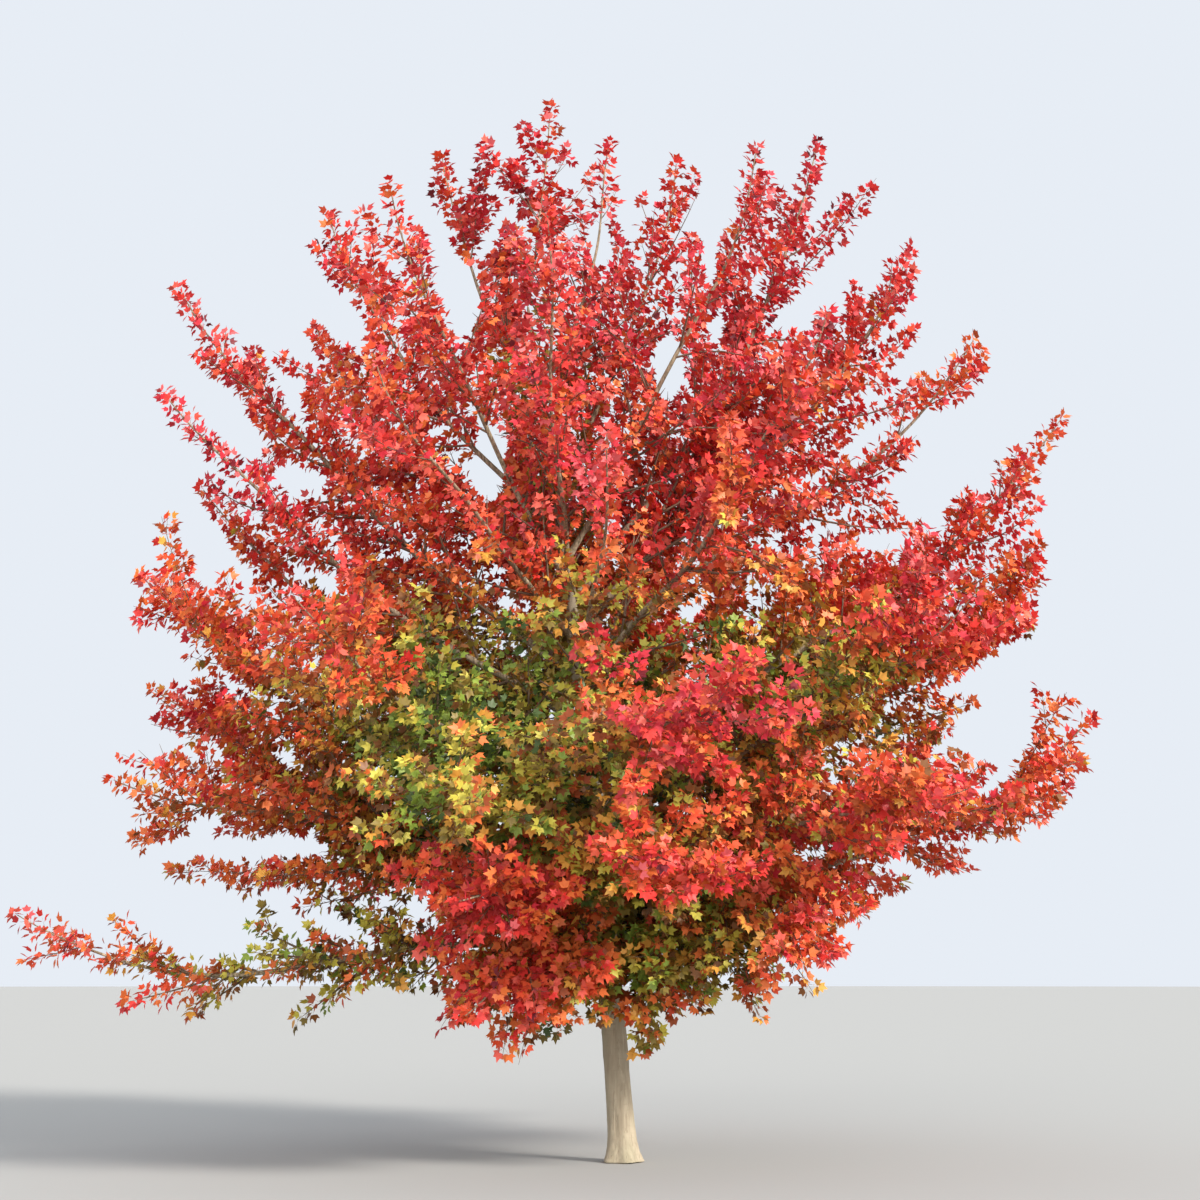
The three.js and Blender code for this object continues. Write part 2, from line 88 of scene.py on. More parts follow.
def relief(piece, name, size, stretch, strength, contrast=1.0):
    """Presses a cloudy pattern, drawn out along the wood, into a piece's surface."""
    pattern = bpy.data.textures.new(name, "CLOUDS")
    pattern.noise_scale = size
    pattern.noise_depth = 3
    pattern.contrast = contrast
    bpy.ops.object.empty_add()
    grid = bpy.context.object
    grid.scale = (1, 1, stretch)
    bpy.ops.object.select_all(action="DESELECT")
    piece.select_set(True)
    bpy.context.view_layer.objects.active = piece
    push = piece.modifiers.new(name, "DISPLACE")
    push.texture = pattern
    push.texture_coords = "OBJECT"
    push.texture_coords_object = grid
    push.strength = strength
    push.mid_level = 0.5
    bpy.context.view_layer.update()
    bpy.ops.object.modifier_apply(modifier=name)
    bpy.data.objects.remove(grid)


bpy.ops.object.select_all(action="DESELECT")
bpy.ops.mesh.primitive_circle_add(vertices=TRUNK_SIDES, radius=float(trunk_radius(0)), fill_type="NGON")
trunk = bpy.context.object
trunk.name = "trunk_bark"
bpy.ops.object.mode_set(mode="EDIT")
bpy.ops.mesh.select_all(action="SELECT")
ring_heights = TRUNK_HEIGHT * np.linspace(0, 1, TRUNK_STEPS + 1) ** STEP_GROWTH
for low, high in zip(ring_heights[:-1], ring_heights[1:]):
    step = trunk_axis(high) - trunk_axis(low)
    growth = float(trunk_radius(high) / trunk_radius(low))
    bpy.ops.mesh.extrude_region_move(TRANSFORM_OT_translate={"value": tuple(step)})
    bpy.ops.transform.resize(value=(growth, growth, 1), center_override=tuple(trunk_axis(high)))
bpy.ops.object.mode_set(mode="OBJECT")
smooth = trunk.modifiers.new("smooth", "SUBSURF")
smooth.levels = smooth.render_levels = 2
bpy.ops.object.modifier_apply(modifier="smooth")
relief(trunk, "trunk_swell", size=0.3, stretch=1.6, strength=0.014)
relief(trunk, "trunk_furrows", size=0.022, stretch=7.0, strength=0.006, contrast=1.6)
relief(trunk, "trunk_scales", size=0.011, stretch=3.0, strength=0.004)
trunk_points = points_of(trunk)
trunk_heights = np.clip(trunk_points[:, 2], 0, TRUNK_HEIGHT)
from_axis = trunk_points - trunk_axis(trunk_heights)
round_trunk = np.arctan2(from_axis[:, 1], from_axis[:, 0])
ridges = RIDGE_SHARE * np.exp(-trunk_heights / RIDGE_HEIGHT) * np.cos(ROOT_RIDGES * round_trunk)
trunk_points[:, :2] += from_axis[:, :2] * ridges[:, None]
trunk_points[:, 2] = np.clip(trunk_points[:, 2], 0, None)
trunk_points[trunk_points[:, 2] < CUT_HEIGHT, 2] = 0


# Boughs and limbs
# Each limb is one line from the trunk to a tip: bare at its foot, in leaf from about a third of the
# way. All are tubes along curved lines that taper to a finger's width, with a collar at the trunk.
TREE_SEED = 11
FOOT_PULL = 0.36  # how far the line keeps its first direction, as a share of its length
TIP_PULL = 0.3
LIMB_STEPS = 20
LIMB_WOBBLE = 0.014
LIMB_TAPER = 0.8
FOOT_RADIUS_SHARE = 0.0072
SOLID_TIP_RADIUS = 0.013  # of the source's limbs, which keeps the shoots clear of them
TIP_RADIUS = 0.004
LIMB_RINGS = 16  # the fewest that a limb has
LIMB_RING_STEP = 0.075
LIMB_RING_GROWTH = 1.15  # they stand closer at the foot, too
COLLAR = 0.45
COLLAR_LENGTH = 0.07
FOOT_SWELL = 0.5  # of the trunk round a limb's foot, as a share of the limb's radius
SWELL_REACH = 2.6
BOUGH_SHARE = 0.3
FIRST_PLUME = 0.2
BARE_FOOT = 3.05  # a limb that leaves the trunk above this is in leaf all the way
INNER_REACH = 2.1  # and so is one that is shorter than this
LEAFY_END = 0.57  # the length at a limb's tip that the source gives to its last leaf
LEVEL_RISE = 50  # a limb whose tip rises by less bears its shoots in level layers
SHOOT_LIFT = 0.5  # how much a limb's plumes bend up, and the tip's rise from which they do so in full
FULL_LIFT_RISE = 40
UP = np.array([0.0, 0.0, 1.0])

# name, height of the foot on the trunk, tip of the limb, rise in degrees at the foot and at the tip
LIMBS = [
    ("leader", TRUNK_HEIGHT, (-0.69, 0, 9.96), 80, 85),
    ("top_left", 6.9, (-1.79, 0.5, 9.68), 55, 80),
    ("top_front", 6.5, (-0.12, -0.8, 9.21), 62, 78),
    ("top_right", 6.1, (0.57, 0.6, 9.66), 60, 82),
    ("crown_left", 5.6, (-2.86, 0.2, 8.93), 48, 76),
    ("crown_right", 5.4, (1.22, -1.2, 8.98), 55, 80),
    ("crown_front_left", 5.2, (-2.07, -1.5, 8.5), 50, 74),
    ("crown_far_right", 5.0, (1.96, 0.3, 9.74), 52, 80),
    ("crown_front", 5.3, (-0.65, -2.2, 7.95), 48, 70),
    ("back_left_high", 4.9, (-3.15, 1.4, 8.2), 48, 66),
    ("right_high", 4.7, (2.92, 0.7, 8.78), 50, 72),
    ("back_right_high", 4.5, (1.35, 2.2, 8.75), 50, 72),
    ("right_high_front", 4.4, (3.18, -0.9, 7.25), 42, 60),
    ("back_high", 4.3, (-1.25, 2.95, 8.05), 46, 66),
    ("left_high", 4.25, (-4.25, 0, 8.09), 40, 60),
    ("front_left_high", 4.6, (-2.0, -2.9, 6.45), 36, 58),
    ("front_right_high", 4.1, (1.6, -2.95, 6.75), 38, 60),
    ("left_shoulder", 3.85, (-4.23, -0.5, 6.88), 30, 52),
    ("front_high", 3.9, (-0.15, -3.35, 5.65), 28, 50),
    ("back_mid", 3.65, (0.25, 4.0, 5.8), 28, 45),
    ("front_mid", 3.5, (0.45, -3.75, 3.6), 6, 22),
    ("back_left_mid", 3.4, (-2.75, 3.15, 5.7), 28, 45),
    ("right_shoulder", 3.3, (4.17, 0, 6.78), 32, 56),
    ("front_left_mid", 3.2, (-2.55, -3.05, 4.45), 14, 36),
    ("back_right_mid", 3.15, (2.85, 2.75, 5.9), 33, 46),
    ("front_left_lower", 3.06, (-1.6, -3.3, 3.15), 0, 16),
    ("left_mid", 3.08, (-4.07, 0.6, 6.25), 28, 52),
    ("front_right_mid", 3.0, (2.7, -2.8, 4.5), 16, 38),
    ("right_mid", 2.85, (4.03, 0.6, 5.34), 26, 42),
    ("left_mid_front", 2.75, (-4.28, -0.8, 5.08), 20, 42),
    ("right_front_low", 2.6, (2.6, -2.8, 3.0), 12, 14),
    ("back_left_low", 2.55, (-2.95, 2.75, 3.4), 12, 24),
    ("left_low", 2.45, (-4.5, 0.8, 4.3), 12, 34),
    ("back_right_low", 2.4, (3.1, 2.55, 3.7), 10, 28),
    ("right_low", 2.35, (4.16, -0.5, 3.85), -6, 49),
    ("front_low", 2.3, (0.3, -3.45, 2.5), 12, 6),
    ("back_low", 2.25, (-0.2, 3.8, 3.0), 10, 22),
    ("left_lower", 2.15, (-4.5, -0.5, 3.3), 32, 20),
    ("front_left_mid_low", 2.2, (-1.25, -2.95, 2.15), 14, -4),
    ("front_right_low", 2.05, (1.72, -1.95, 1.82), 14, -20),
    ("front_left_low", 1.93, (-1.25, -2.15, 1.3), 12, -24),
    ("left_long", 1.88, (-5.05, -1.3, 2.1), 2, 34),
    ("skirt_front", 1.78, (0.6, -1.25, 1.38), 12, -16),
    ("skirt_back", 1.82, (-0.7, 1.35, 1.6), 12, -8),
]


def seeded(seed):
    """The source's own row of random numbers between 0 and 1."""
    state = (TREE_SEED * 7919 + seed * 104729) % 4294967296

    def draw():
        nonlocal state
        state = (state * 1664525 + 1013904223) % 4294967296
        return state / 4294967296

    return draw


def unit(vectors):
    return vectors / np.linalg.norm(vectors, axis=-1, keepdims=True)


def dot(a, b):
    return np.sum(a * b, axis=-1, keepdims=True)


def limb_of(index, name, foot_height, tip, foot_rise, tip_rise):
    draw = seeded(index + 1)
    foot = trunk_axis(foot_height)
    end = np.array(tip, float)
    reach = float(np.linalg.norm(end - foot))
    heading = math.atan2(end[1] - foot[1], end[0] - foot[0])

    def outward(degrees):
        rise = math.radians(degrees)
        level_share = math.cos(rise)
        return np.array([math.cos(heading) * level_share, math.sin(heading) * level_share, math.sin(rise)])

    first = foot + outward(foot_rise) * reach * FOOT_PULL
    last = end - outward(tip_rise) * reach * TIP_PULL
    level = np.array([-math.sin(heading), math.cos(heading), 0.0])
    turns = 2 + draw()
    phase = draw() * 2 * math.pi
    roll = (-1 if draw() < 0.5 else 1) * (0.6 + 0.5 * draw())

    def at(t):
        t = np.asarray(t, float)[..., None]
        line = foot * (1 - t) ** 3 + 3 * first * t * (1 - t) ** 2 + 3 * last * t * t * (1 - t) + end * t**3
        sway = reach * LIMB_WOBBLE * 4 * t * (1 - t)
        turn = turns * math.pi * t + phase
        return line + level * sway * np.sin(turn) + UP * sway * np.cos(turn)

    def frame_at(t):
        forward = unit(at(t + 0.01) - at(t - 0.01))
        side = unit(level - forward * dot(forward, level))
        above = np.cross(forward, side)
        across = side * math.cos(roll) + above * math.sin(roll)
        return forward, above, across, np.cross(forward, across)

    foot_radius = float(trunk_radius(TRUNK_HEIGHT)) if name == "leader" else reach * FOOT_RADIUS_SHARE
    split = BOUGH_SHARE if foot_height < BARE_FOOT and reach > INNER_REACH else 0
    return SimpleNamespace(
        name=name, index=index, at=at, frame_at=frame_at, reach=reach, split=split,
        in_leaf=max(split, FIRST_PLUME), stem_end=1 - LEAFY_END / reach, foot_height=foot_height,
        foot_radius=foot_radius, layered=tip_rise < LEVEL_RISE,
        lift=SHOOT_LIFT * min(1, tip_rise / FULL_LIFT_RISE),
        line=at(np.linspace(0, 1, LIMB_STEPS + 1)),
    )


def radius_along(limb, t, tip_radius):
    return tip_radius + (limb.foot_radius - tip_radius) * (1 - t) ** LIMB_TAPER


limbs = [limb_of(index, *row) for index, row in enumerate(LIMBS)]

lines = bpy.data.curves.new("limb_lines", "CURVE")
lines.dimensions = "3D"
lines.bevel_depth = 1
lines.bevel_resolution = 3
lines.use_fill_caps = True
for limb in limbs:
    count = max(LIMB_RINGS, round(limb.reach / LIMB_RING_STEP))
    t = np.linspace(0, 1, count) ** LIMB_RING_GROWTH
    middle = limb.at(t)
    out_of_trunk = np.linalg.norm(middle - limb.line[0], axis=1) - trunk_radius(limb.foot_height)
    collar = 1 + COLLAR * np.exp(-np.clip(out_of_trunk, 0, None) / COLLAR_LENGTH)
    if limb.name == "leader":
        collar[:] = 1
    radii = radius_along(limb, t, TIP_RADIUS) * collar
    spline = lines.splines.new("POLY")
    spline.points.add(count - 1)
    spline.points.foreach_set("co", np.column_stack([middle, np.ones(count)]).ravel())
    spline.points.foreach_set("radius", radii)
boughs = bpy.data.objects.new("boughs_bark", lines)
bpy.context.scene.collection.objects.link(boughs)
bpy.ops.object.select_all(action="DESELECT")
boughs.select_set(True)
bpy.context.view_layer.objects.active = boughs
bpy.ops.object.convert(target="MESH")
boughs = bpy.context.object
relief(boughs, "bough_swell", size=0.06, stretch=1.0, strength=0.004)

# The trunk swells a little round the foot of every limb.
for limb in limbs[1:]:
    near_foot = limb.at(np.linspace(0, 0.2, 60))
    past_bark = np.linalg.norm(near_foot - near_foot[0], axis=1) > trunk_radius(limb.foot_height)
    away = np.linalg.norm(trunk_points - near_foot[np.argmax(past_bark)], axis=1)
    swell = limb.foot_radius * FOOT_SWELL * np.exp(-((away / (SWELL_REACH * limb.foot_radius)) ** 2))
    trunk_points += unit(trunk_points - trunk_axis(trunk_heights) + 1e-9) * swell[:, None]
move_points(trunk, trunk_points)


# Bark
# One bark covers the trunk and the boughs: pale grey-beige, streaked along the wood, darker in its
# furrows and green-grey in patches. One group of nodes makes it, and each piece sets its own colours.
BARK_ROUGHNESS = 0.88
BARK_SHINE = 0.25
FURROW_DEPTH = 0.006


def bark_grain_group():
    group = bpy.data.node_groups.new("bark_grain", "ShaderNodeTree")
    for name, kind, value in (
        ("Light", "NodeSocketColor", (0.6, 0.5, 0.4, 1)),
        ("Dark", "NodeSocketColor", (0.2, 0.16, 0.12, 1)),
        ("Moss", "NodeSocketColor", (0.2, 0.22, 0.1, 1)),
        ("Streak Size", "NodeSocketFloat", 30.0),
        ("Moss Share", "NodeSocketFloat", 0.3),
    ):
        group.interface.new_socket(name=name, in_out="INPUT", socket_type=kind).default_value = value
    group.interface.new_socket(name="Color", in_out="OUTPUT", socket_type="NodeSocketColor")
    group.interface.new_socket(name="Height", in_out="OUTPUT", socket_type="NodeSocketFloat")
    nodes, link = group.nodes, group.links.new
    given, result = nodes.new("NodeGroupInput"), nodes.new("NodeGroupOutput")
    place = nodes.new("ShaderNodeTexCoord")

    def drawn_out(scale):
        mapping = nodes.new("ShaderNodeMapping")
        mapping.inputs["Scale"].default_value = scale
        link(place.outputs["Object"], mapping.inputs["Vector"])
        return mapping.outputs["Vector"]

    def noise(vector, scale, detail, distortion=0.0):
        node = nodes.new("ShaderNodeTexNoise")
        node.inputs["Detail"].default_value = detail
        node.inputs["Distortion"].default_value = distortion
        link(vector, node.inputs["Vector"])
        if isinstance(scale, float):
            node.inputs["Scale"].default_value = scale
        else:
            link(scale, node.inputs["Scale"])
        return node.outputs["Fac"]

    def ramp(value, low, high):
        node = nodes.new("ShaderNodeMapRange")
        node.inputs["From Min"].default_value = low
        node.inputs["From Max"].default_value = high
        link(value, node.inputs["Value"])
        return node.outputs["Result"]

    def mix(factor, a, b):
        node = nodes.new("ShaderNodeMix")
        node.data_type = "RGBA"
        link(factor, node.inputs["Factor"])
        link(a, node.inputs["A"])
        link(b, node.inputs["B"])
        return node.outputs["Result"]

    def times(a, b):
        node = nodes.new("ShaderNodeMath")
        node.operation = "MULTIPLY"
        for value, socket in ((a, node.inputs[0]), (b, node.inputs[1])):
            if isinstance(value, float):
                socket.default_value = value
            else:
                link(value, socket)
        return node.outputs[0]

    streaks = noise(drawn_out((1, 1, 0.12)), given.outputs["Streak Size"], 6.0, 0.4)
    furrows = ramp(noise(drawn_out((1, 1, 0.1)), 55.0, 3.0, 0.8), 0.56, 0.66)
    bands = ramp(noise(drawn_out((0.5, 0.5, 5.0)), 16.0, 3.0), 0.58, 0.72)
    patches = ramp(noise(drawn_out((1, 1, 0.5)), 3.2, 4.0), 0.5, 0.68)
    mossy = times(patches, given.outputs["Moss Share"])
    shaded = mix(ramp(streaks, 0.32, 0.66), given.outputs["Dark"], given.outputs["Light"])
    lined = mix(times(furrows, 0.75), shaded, given.outputs["Dark"])
    banded = mix(times(bands, 0.35), lined, given.outputs["Dark"])
    link(mix(mossy, banded, given.outputs["Moss"]), result.inputs["Color"])
    rough = nodes.new("ShaderNodeMath")
    rough.operation = "SUBTRACT"
    link(streaks, rough.inputs[0])
    link(times(furrows, 0.6), rough.inputs[1])
    link(rough.outputs[0], result.inputs["Height"])
    return group


def linear(colour):
    """A colour as a screen shows it, 0 to 255, in the linear values that a shader takes."""
    shares = [c / 255 for c in colour]
    return tuple(s / 12.92 if s <= 0.04045 else ((s + 0.055) / 1.055) ** 2.4 for s in shares) + (1.0,)


bark_grain = bark_grain_group()


def bark_material(name, light, dark, moss, streak_size, moss_share, bump):
    material = bpy.data.materials.new(name)
    material.use_nodes = True
    nodes, link = material.node_tree.nodes, material.node_tree.links.new
    shader = nodes["Principled BSDF"]
    shader.inputs["Roughness"].default_value = BARK_ROUGHNESS
    shader.inputs["Specular IOR Level"].default_value = BARK_SHINE
    grain = nodes.new("ShaderNodeGroup")
    grain.node_tree = bark_grain
    for socket, value in (("Light", linear(light)), ("Dark", linear(dark)), ("Moss", linear(moss))):
        grain.inputs[socket].default_value = value
    grain.inputs["Streak Size"].default_value = streak_size
    grain.inputs["Moss Share"].default_value = moss_share
    bumps = nodes.new("ShaderNodeBump")
    bumps.inputs["Strength"].default_value = bump
    bumps.inputs["Distance"].default_value = FURROW_DEPTH
    link(grain.outputs["Color"], shader.inputs["Base Color"])
    link(grain.outputs["Height"], bumps.inputs["Height"])
    link(bumps.outputs["Normal"], shader.inputs["Normal"])
    return material


trunk.data.materials.append(bark_material(
    "trunk_bark", light=(180, 167, 144), dark=(152, 139, 118), moss=(146, 146, 118), streak_size=18.0,
    moss_share=0.35, bump=0.5,
))
boughs.data.materials.append(bark_material(
    "bough_bark", light=(186, 168, 142), dark=(112, 98, 80), moss=(120, 118, 88), streak_size=60.0,
    moss_share=0.3, bump=0.5,
))
bough_nodes = [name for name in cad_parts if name.startswith("bough_")]
for piece, nodes in ((trunk, ["trunk"]), (boughs, bough_nodes)):
    piece.data.shade_smooth()
    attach(piece, "root")
    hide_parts(*nodes)


# Shoots
# Plumes, the main shoots, fan out from each limb and bend upwards, by the source's rule and in its
# spaces. Finer plumes stand between them, and lesser shoots fork from both. All are thin tapering tubes.

# The crown's outline: how far it reaches to the left and the right at each height
CROWN_HEIGHTS = (0.95, 1.7, 2.6, 3.4, 4.4, 5.3, 6.2, 7.2, 8.2, 8.8, 9.4, 9.95)
CROWN_LEFT = (1.9, 2.9, 4.3, 4.5, 4.4, 4.35, 4.0, 4.05, 3.5, 2.75, 1.75, 0.9)
CROWN_RIGHT = (1.5, 2.3, 3.5, 4.2, 4.1, 3.95, 3.9, 3.4, 3.0, 2.55, 1.95, 0.9)
CROWN_DEPTH = 0.94  # of its width
PLUME_SPACING = 0.62
PLUME_TURN = 2  # sides of the stem from one plume to the next
STEM_SIDES = 5
PLUME_BASE = 0.8  # a plume's length, with a share of its limb's reach added
PLUME_SHARE = 0.26
PLUME_FALL = 0.5  # how much shorter a plume at the limb's tip is
PLUME_WIDTH = 0.6  # of the limb that it leaves
PLUME_START = 0.12  # the length at its foot that bears no twig
SHORTEST_PLUME = 0.7
FORK_ANGLE = 0.78
LAYERING = 0.5  # how much flatter a level limb's shoots lie
PLUME_STEP = 0.1  # from one point that is tested to the next
PLUME_MARGIN = 0.06  # how much nearer its own limb a point has to be than any other
LONG_LIMB = "left_long"  # it reaches out of the crown's outline, with its shoots
LONG_LIMB_SPREAD = 0.6
LIMB_MARGIN = 0.016
EYE = np.array([-0.2, -17.0, 1.6])
# Gaps through which the sky shows to that eye: centre across and up, half width, half height
GAPS = [
    (0.45, 7.3, 0.14, 0.33), (-1.24, 6.35, 0.15, 0.38), (-1.48, 7.98, 0.13, 0.33), (-0.2, 8.6, 0.1, 0.26),
    (0.86, 8.95, 0.1, 0.75), (2.44, 5.6, 0.22, 0.09), (2.9, 6.68, 0.24, 0.12),
    (3.5, 1.8, 1.42, 0.76), (3.4, 3.78, 0.36, 0.24), (-4.4, 3.72, 0.34, 0.14), (-3.5, 2.74, 0.85, 0.09),
    (4.15, 4.42, 0.42, 0.3),
]

segment_from = np.array([limb.line[:-1] for limb in limbs])
segment_along = np.array([np.diff(limb.line, axis=0) for limb in limbs])
segment_square = np.sum(segment_along**2, axis=-1)
steps_along = np.arange(LIMB_STEPS) / LIMB_STEPS
segment_room = np.array([radius_along(limb, steps_along, SOLID_TIP_RADIUS) for limb in limbs]) + LIMB_MARGIN


def distances(points):
    """From every point to every step of every limb's line."""
    away = points[:, None, None, :] - segment_from
    share = np.clip(np.sum(away * segment_along, axis=-1) / segment_square, 0, 1)
    return np.linalg.norm(away - segment_along * share[..., None], axis=-1)


def crown_share(points):
    """How far out a point lies, from 0 on the trunk's side to 1 on the crown's outline."""
    left = np.interp(points[:, 2], CROWN_HEIGHTS, CROWN_LEFT)
    right = np.interp(points[:, 2], CROWN_HEIGHTS, CROWN_RIGHT)
    wide = np.where(points[:, 0] < 0, left, right)
    deep = (left + right) / 2 * CROWN_DEPTH
    share = np.sqrt((points[:, 0] / wide) ** 2 + (points[:, 1] / deep) ** 2)
    outside = (points[:, 2] < CROWN_HEIGHTS[0]) | (points[:, 2] >= CROWN_HEIGHTS[-1])
    return np.where(outside, np.maximum(share, 1.01), share)


def in_gap(points):
    nearer = -EYE[1] / (points[:, 1] - EYE[1])
    x = EYE[0] + (points[:, 0] - EYE[0]) * nearer
    z = EYE[2] + (points[:, 2] - EYE[2]) * nearer
    gaps = np.array(GAPS)
    inside = ((x[:, None] - gaps[:, 0]) / gaps[:, 2]) ** 2 + ((z[:, None] - gaps[:, 1]) / gaps[:, 3]) ** 2
    return (inside < 1).any(axis=1)


def is_free(limb, points, margins):
    """A point is free in a limb's space if it is in the crown, in no gap, clear of the wood, and nearer
    to this limb than to any other."""
    apart = distances(points)
    to_lines = apart.min(axis=2)
    own = to_lines[:, limb.index].copy()
    inside = crown_share(points) < 1
    if limb.name == LONG_LIMB:
        inside |= own < LONG_LIMB_SPREAD
    heights = np.clip(points[:, 2], 0, TRUNK_HEIGHT)
    clear = np.linalg.norm(points - trunk_axis(heights), axis=1) > trunk_radius(heights) + LIMB_MARGIN
    room = segment_room.copy()
    room[limb.index, math.floor(LIMB_STEPS * limb.split) + 1 :] = 0
    clear &= ~(apart < room).any(axis=(1, 2))
    to_lines[:, limb.index] = np.inf
    return inside & clear & ~in_gap(points) & (to_lines.min(axis=1) > own + margins)


def under_tip(points, tip, slope):
    """Whether points lie in the cone below a tip, so that no shoot outgrows the one that bears it."""
    return points[:, 2] <= tip[2] - slope * np.linalg.norm(points[:, :2] - tip[:2], axis=1)


def plumes_of(
    limb, stream, spacing, scale, first_along, last_along, shortest, turn_shift, lift, slope, margin
):
    """Plumes turn round the stem from side to side, and bend upwards. One that would leave the limb's
    space, touch the wood, cross a gap or outgrow the limb's tip ends there."""
    draw = seeded(stream + limb.index)
    count = round(limb.reach * (last_along - first_along) / spacing)
    first_flat = math.floor(draw() * STEM_SIDES)
    plumes = []
    for k in range(count):
        place, fork, size = draw(), draw(), draw()
        for _ in range(3):
            draw()
        along = (k + 0.2 + 0.6 * place) / count
        t = first_along + (min(last_along, limb.stem_end) - first_along) * along
        turn = 2 * math.pi * (first_flat + PLUME_TURN * k + 0.25 + turn_shift) / STEM_SIDES
        angle = FORK_ANGLE * (0.75 + 0.4 * fork)
        wanted = scale * (PLUME_BASE + limb.reach * PLUME_SHARE) * (1 - PLUME_FALL * along)
        wanted *= 0.8 + 0.4 * size
        forward, above, across, over = limb.frame_at(t)
        outward = across * math.cos(turn) + over * math.sin(turn)
        if limb.layered:
            outward = unit(outward - above * dot(outward, above) * LAYERING)
        first = forward * math.cos(angle) + outward * math.sin(angle)
        bend = (unit(first + UP * (limb.lift + lift)) - first) * 0.5
        root = limb.at(t)
        reaches = np.arange(1, math.ceil(wanted / PLUME_STEP)) * PLUME_STEP
        points = root + first * reaches[:, None] + bend * (reaches**2)[:, None] / wanted
        free = is_free(limb, points, margin * np.minimum(1, reaches / SHORTEST_PLUME))
        free &= (slope == 0) | under_tip(points, limb.line[-1], slope)
        length = PLUME_STEP * (1 + (len(reaches) if free.all() else int(np.argmin(free))))
        if length >= shortest:
            plumes.append(SimpleNamespace(
                limb=limb, root=root, first=first, bend=bend / wanted, length=length,
                radius=float(radius_along(limb, t, TIP_RADIUS) * PLUME_WIDTH), start=PLUME_START,
            ))
    return plumes


# How closely the finer plumes stand on some limbs, against the rest
FULLER = {
    "front_left_low": 3.0, "front_right_low": 2.6, "front_left_mid_low": 1.8, "skirt_front": 2.6,
    "skirt_back": 2.4, "right_front_low": 1.2, "front_low": 1.5, "left_long": 0.8, "right_shoulder": 2.2,
    "right_high_front": 1.8, "right_mid": 1.4, "front_right_mid": 1.2, "front_right_high": 2.0,
    "back_right_mid": 1.8, "front_left_high": 1.5, "left_high": 1.2, "right_high": 1.4, "back_mid": 1.3,
    "back_left_mid": 1.3, "back_low": 1.5, "back_left_low": 1.2, "back_right_low": 1.2, "back_high": 1.3,
}
# How much the shoots of some limbs bend up or hang, against the rest
LIFTED = {
    "left_long": -0.35, "front_left_low": -1.1, "front_right_low": -0.35, "skirt_front": -0.2,
    "right_front_low": 0.3, "back_right_low": 0.3, "front_low": 0.5, "right_low": -0.6,
}
LONG_LIMB_PLUMES = 0.5  # the size of its plumes, against the rest
# A plume keeps as much below its limb's tip for each metre beside it: the source's own, and the rest
SOURCE_SLOPE, FINE_SLOPE = 0.8, 0.9
LOW_FOOT = 3.3  # a limb that leaves the trunk below this has more short plumes near the trunk

plumes = []
for limb in limbs:
    extra = LIFTED.get(limb.name, 0)
    share = LONG_LIMB_PLUMES if limb.name == LONG_LIMB else 1
    crowd = FULLER.get(limb.name, 1)
    slope = 0 if limb.layered else FINE_SLOPE
    # The source's own plumes
    plumes += plumes_of(
        limb, stream=100, spacing=PLUME_SPACING, scale=share, first_along=limb.in_leaf, last_along=1,
        shortest=SHORTEST_PLUME * share, turn_shift=0, lift=extra, slope=0 if limb.layered else SOURCE_SLOPE,
        margin=PLUME_MARGIN,
    )
    # Finer ones that stand between them
    plumes += plumes_of(
        limb, stream=300, spacing=0.35 / crowd, scale=0.55 * share, first_along=0.12, last_along=1,
        shortest=0.3, turn_shift=0.5, lift=extra if limb.layered else 0.6, slope=slope, margin=-0.3,
    )
    # Ones that fill the layers, or hang under an upswept limb and fill the room beneath
    spacing, last_along, lift = (0.5, 0.9, extra) if limb.layered else (0.38, 0.6, -1.3)
    plumes += plumes_of(
        limb, stream=700, spacing=spacing / crowd, scale=0.8 * share, first_along=0.15,
        last_along=last_along, shortest=0.3, turn_shift=0, lift=lift, slope=slope, margin=-0.5,
    )
    # Short ones near the trunk
    scale, lift = (0.42, extra) if limb.layered else (0.6, -0.3)
    plumes += plumes_of(
        limb, stream=500, spacing=0.2 if limb.foot_height < LOW_FOOT else 0.22, scale=scale,
        first_along=0.05, last_along=0.45, shortest=0.2, turn_shift=0.25, lift=lift, slope=0, margin=-0.6,
    )

LONE_SHOOT_RADIUS = 0.009
LONG_SHOOT_START = 0.3
LONG_SHOOT_BEND = 0.03
# Long shoots that stand alone under or over a limb: the limb, how far along it, direction and length
LONG_SHOOTS = (
    ("left_lower", 0.26, (-1, -0.16, -0.12), 2.7), ("left_lower", 0.34, (-1, 0.2, -0.2), 2.0),
    ("left_lower", 0.3, (-1, -0.4, -0.2), 1.9),
    ("right_shoulder", 0.22, (0.25, 0.3, 1), 1.2), ("right_shoulder", 0.34, (0.1, -0.3, 1), 1.2),
    ("right_shoulder", 0.46, (0.15, 0.4, 1), 1.1), ("right_mid", 0.42, (0.1, 0.5, 1), 1.3),
)
for name, along, direction, length in LONG_SHOOTS:
    limb = next(limb for limb in limbs if limb.name == name)
    plumes.append(SimpleNamespace(
        limb=limb, root=limb.at(along), first=unit(np.array(direction)), bend=UP * LONG_SHOOT_BEND,
        length=length, radius=LONE_SHOOT_RADIUS, start=LONG_SHOOT_START,
    ))

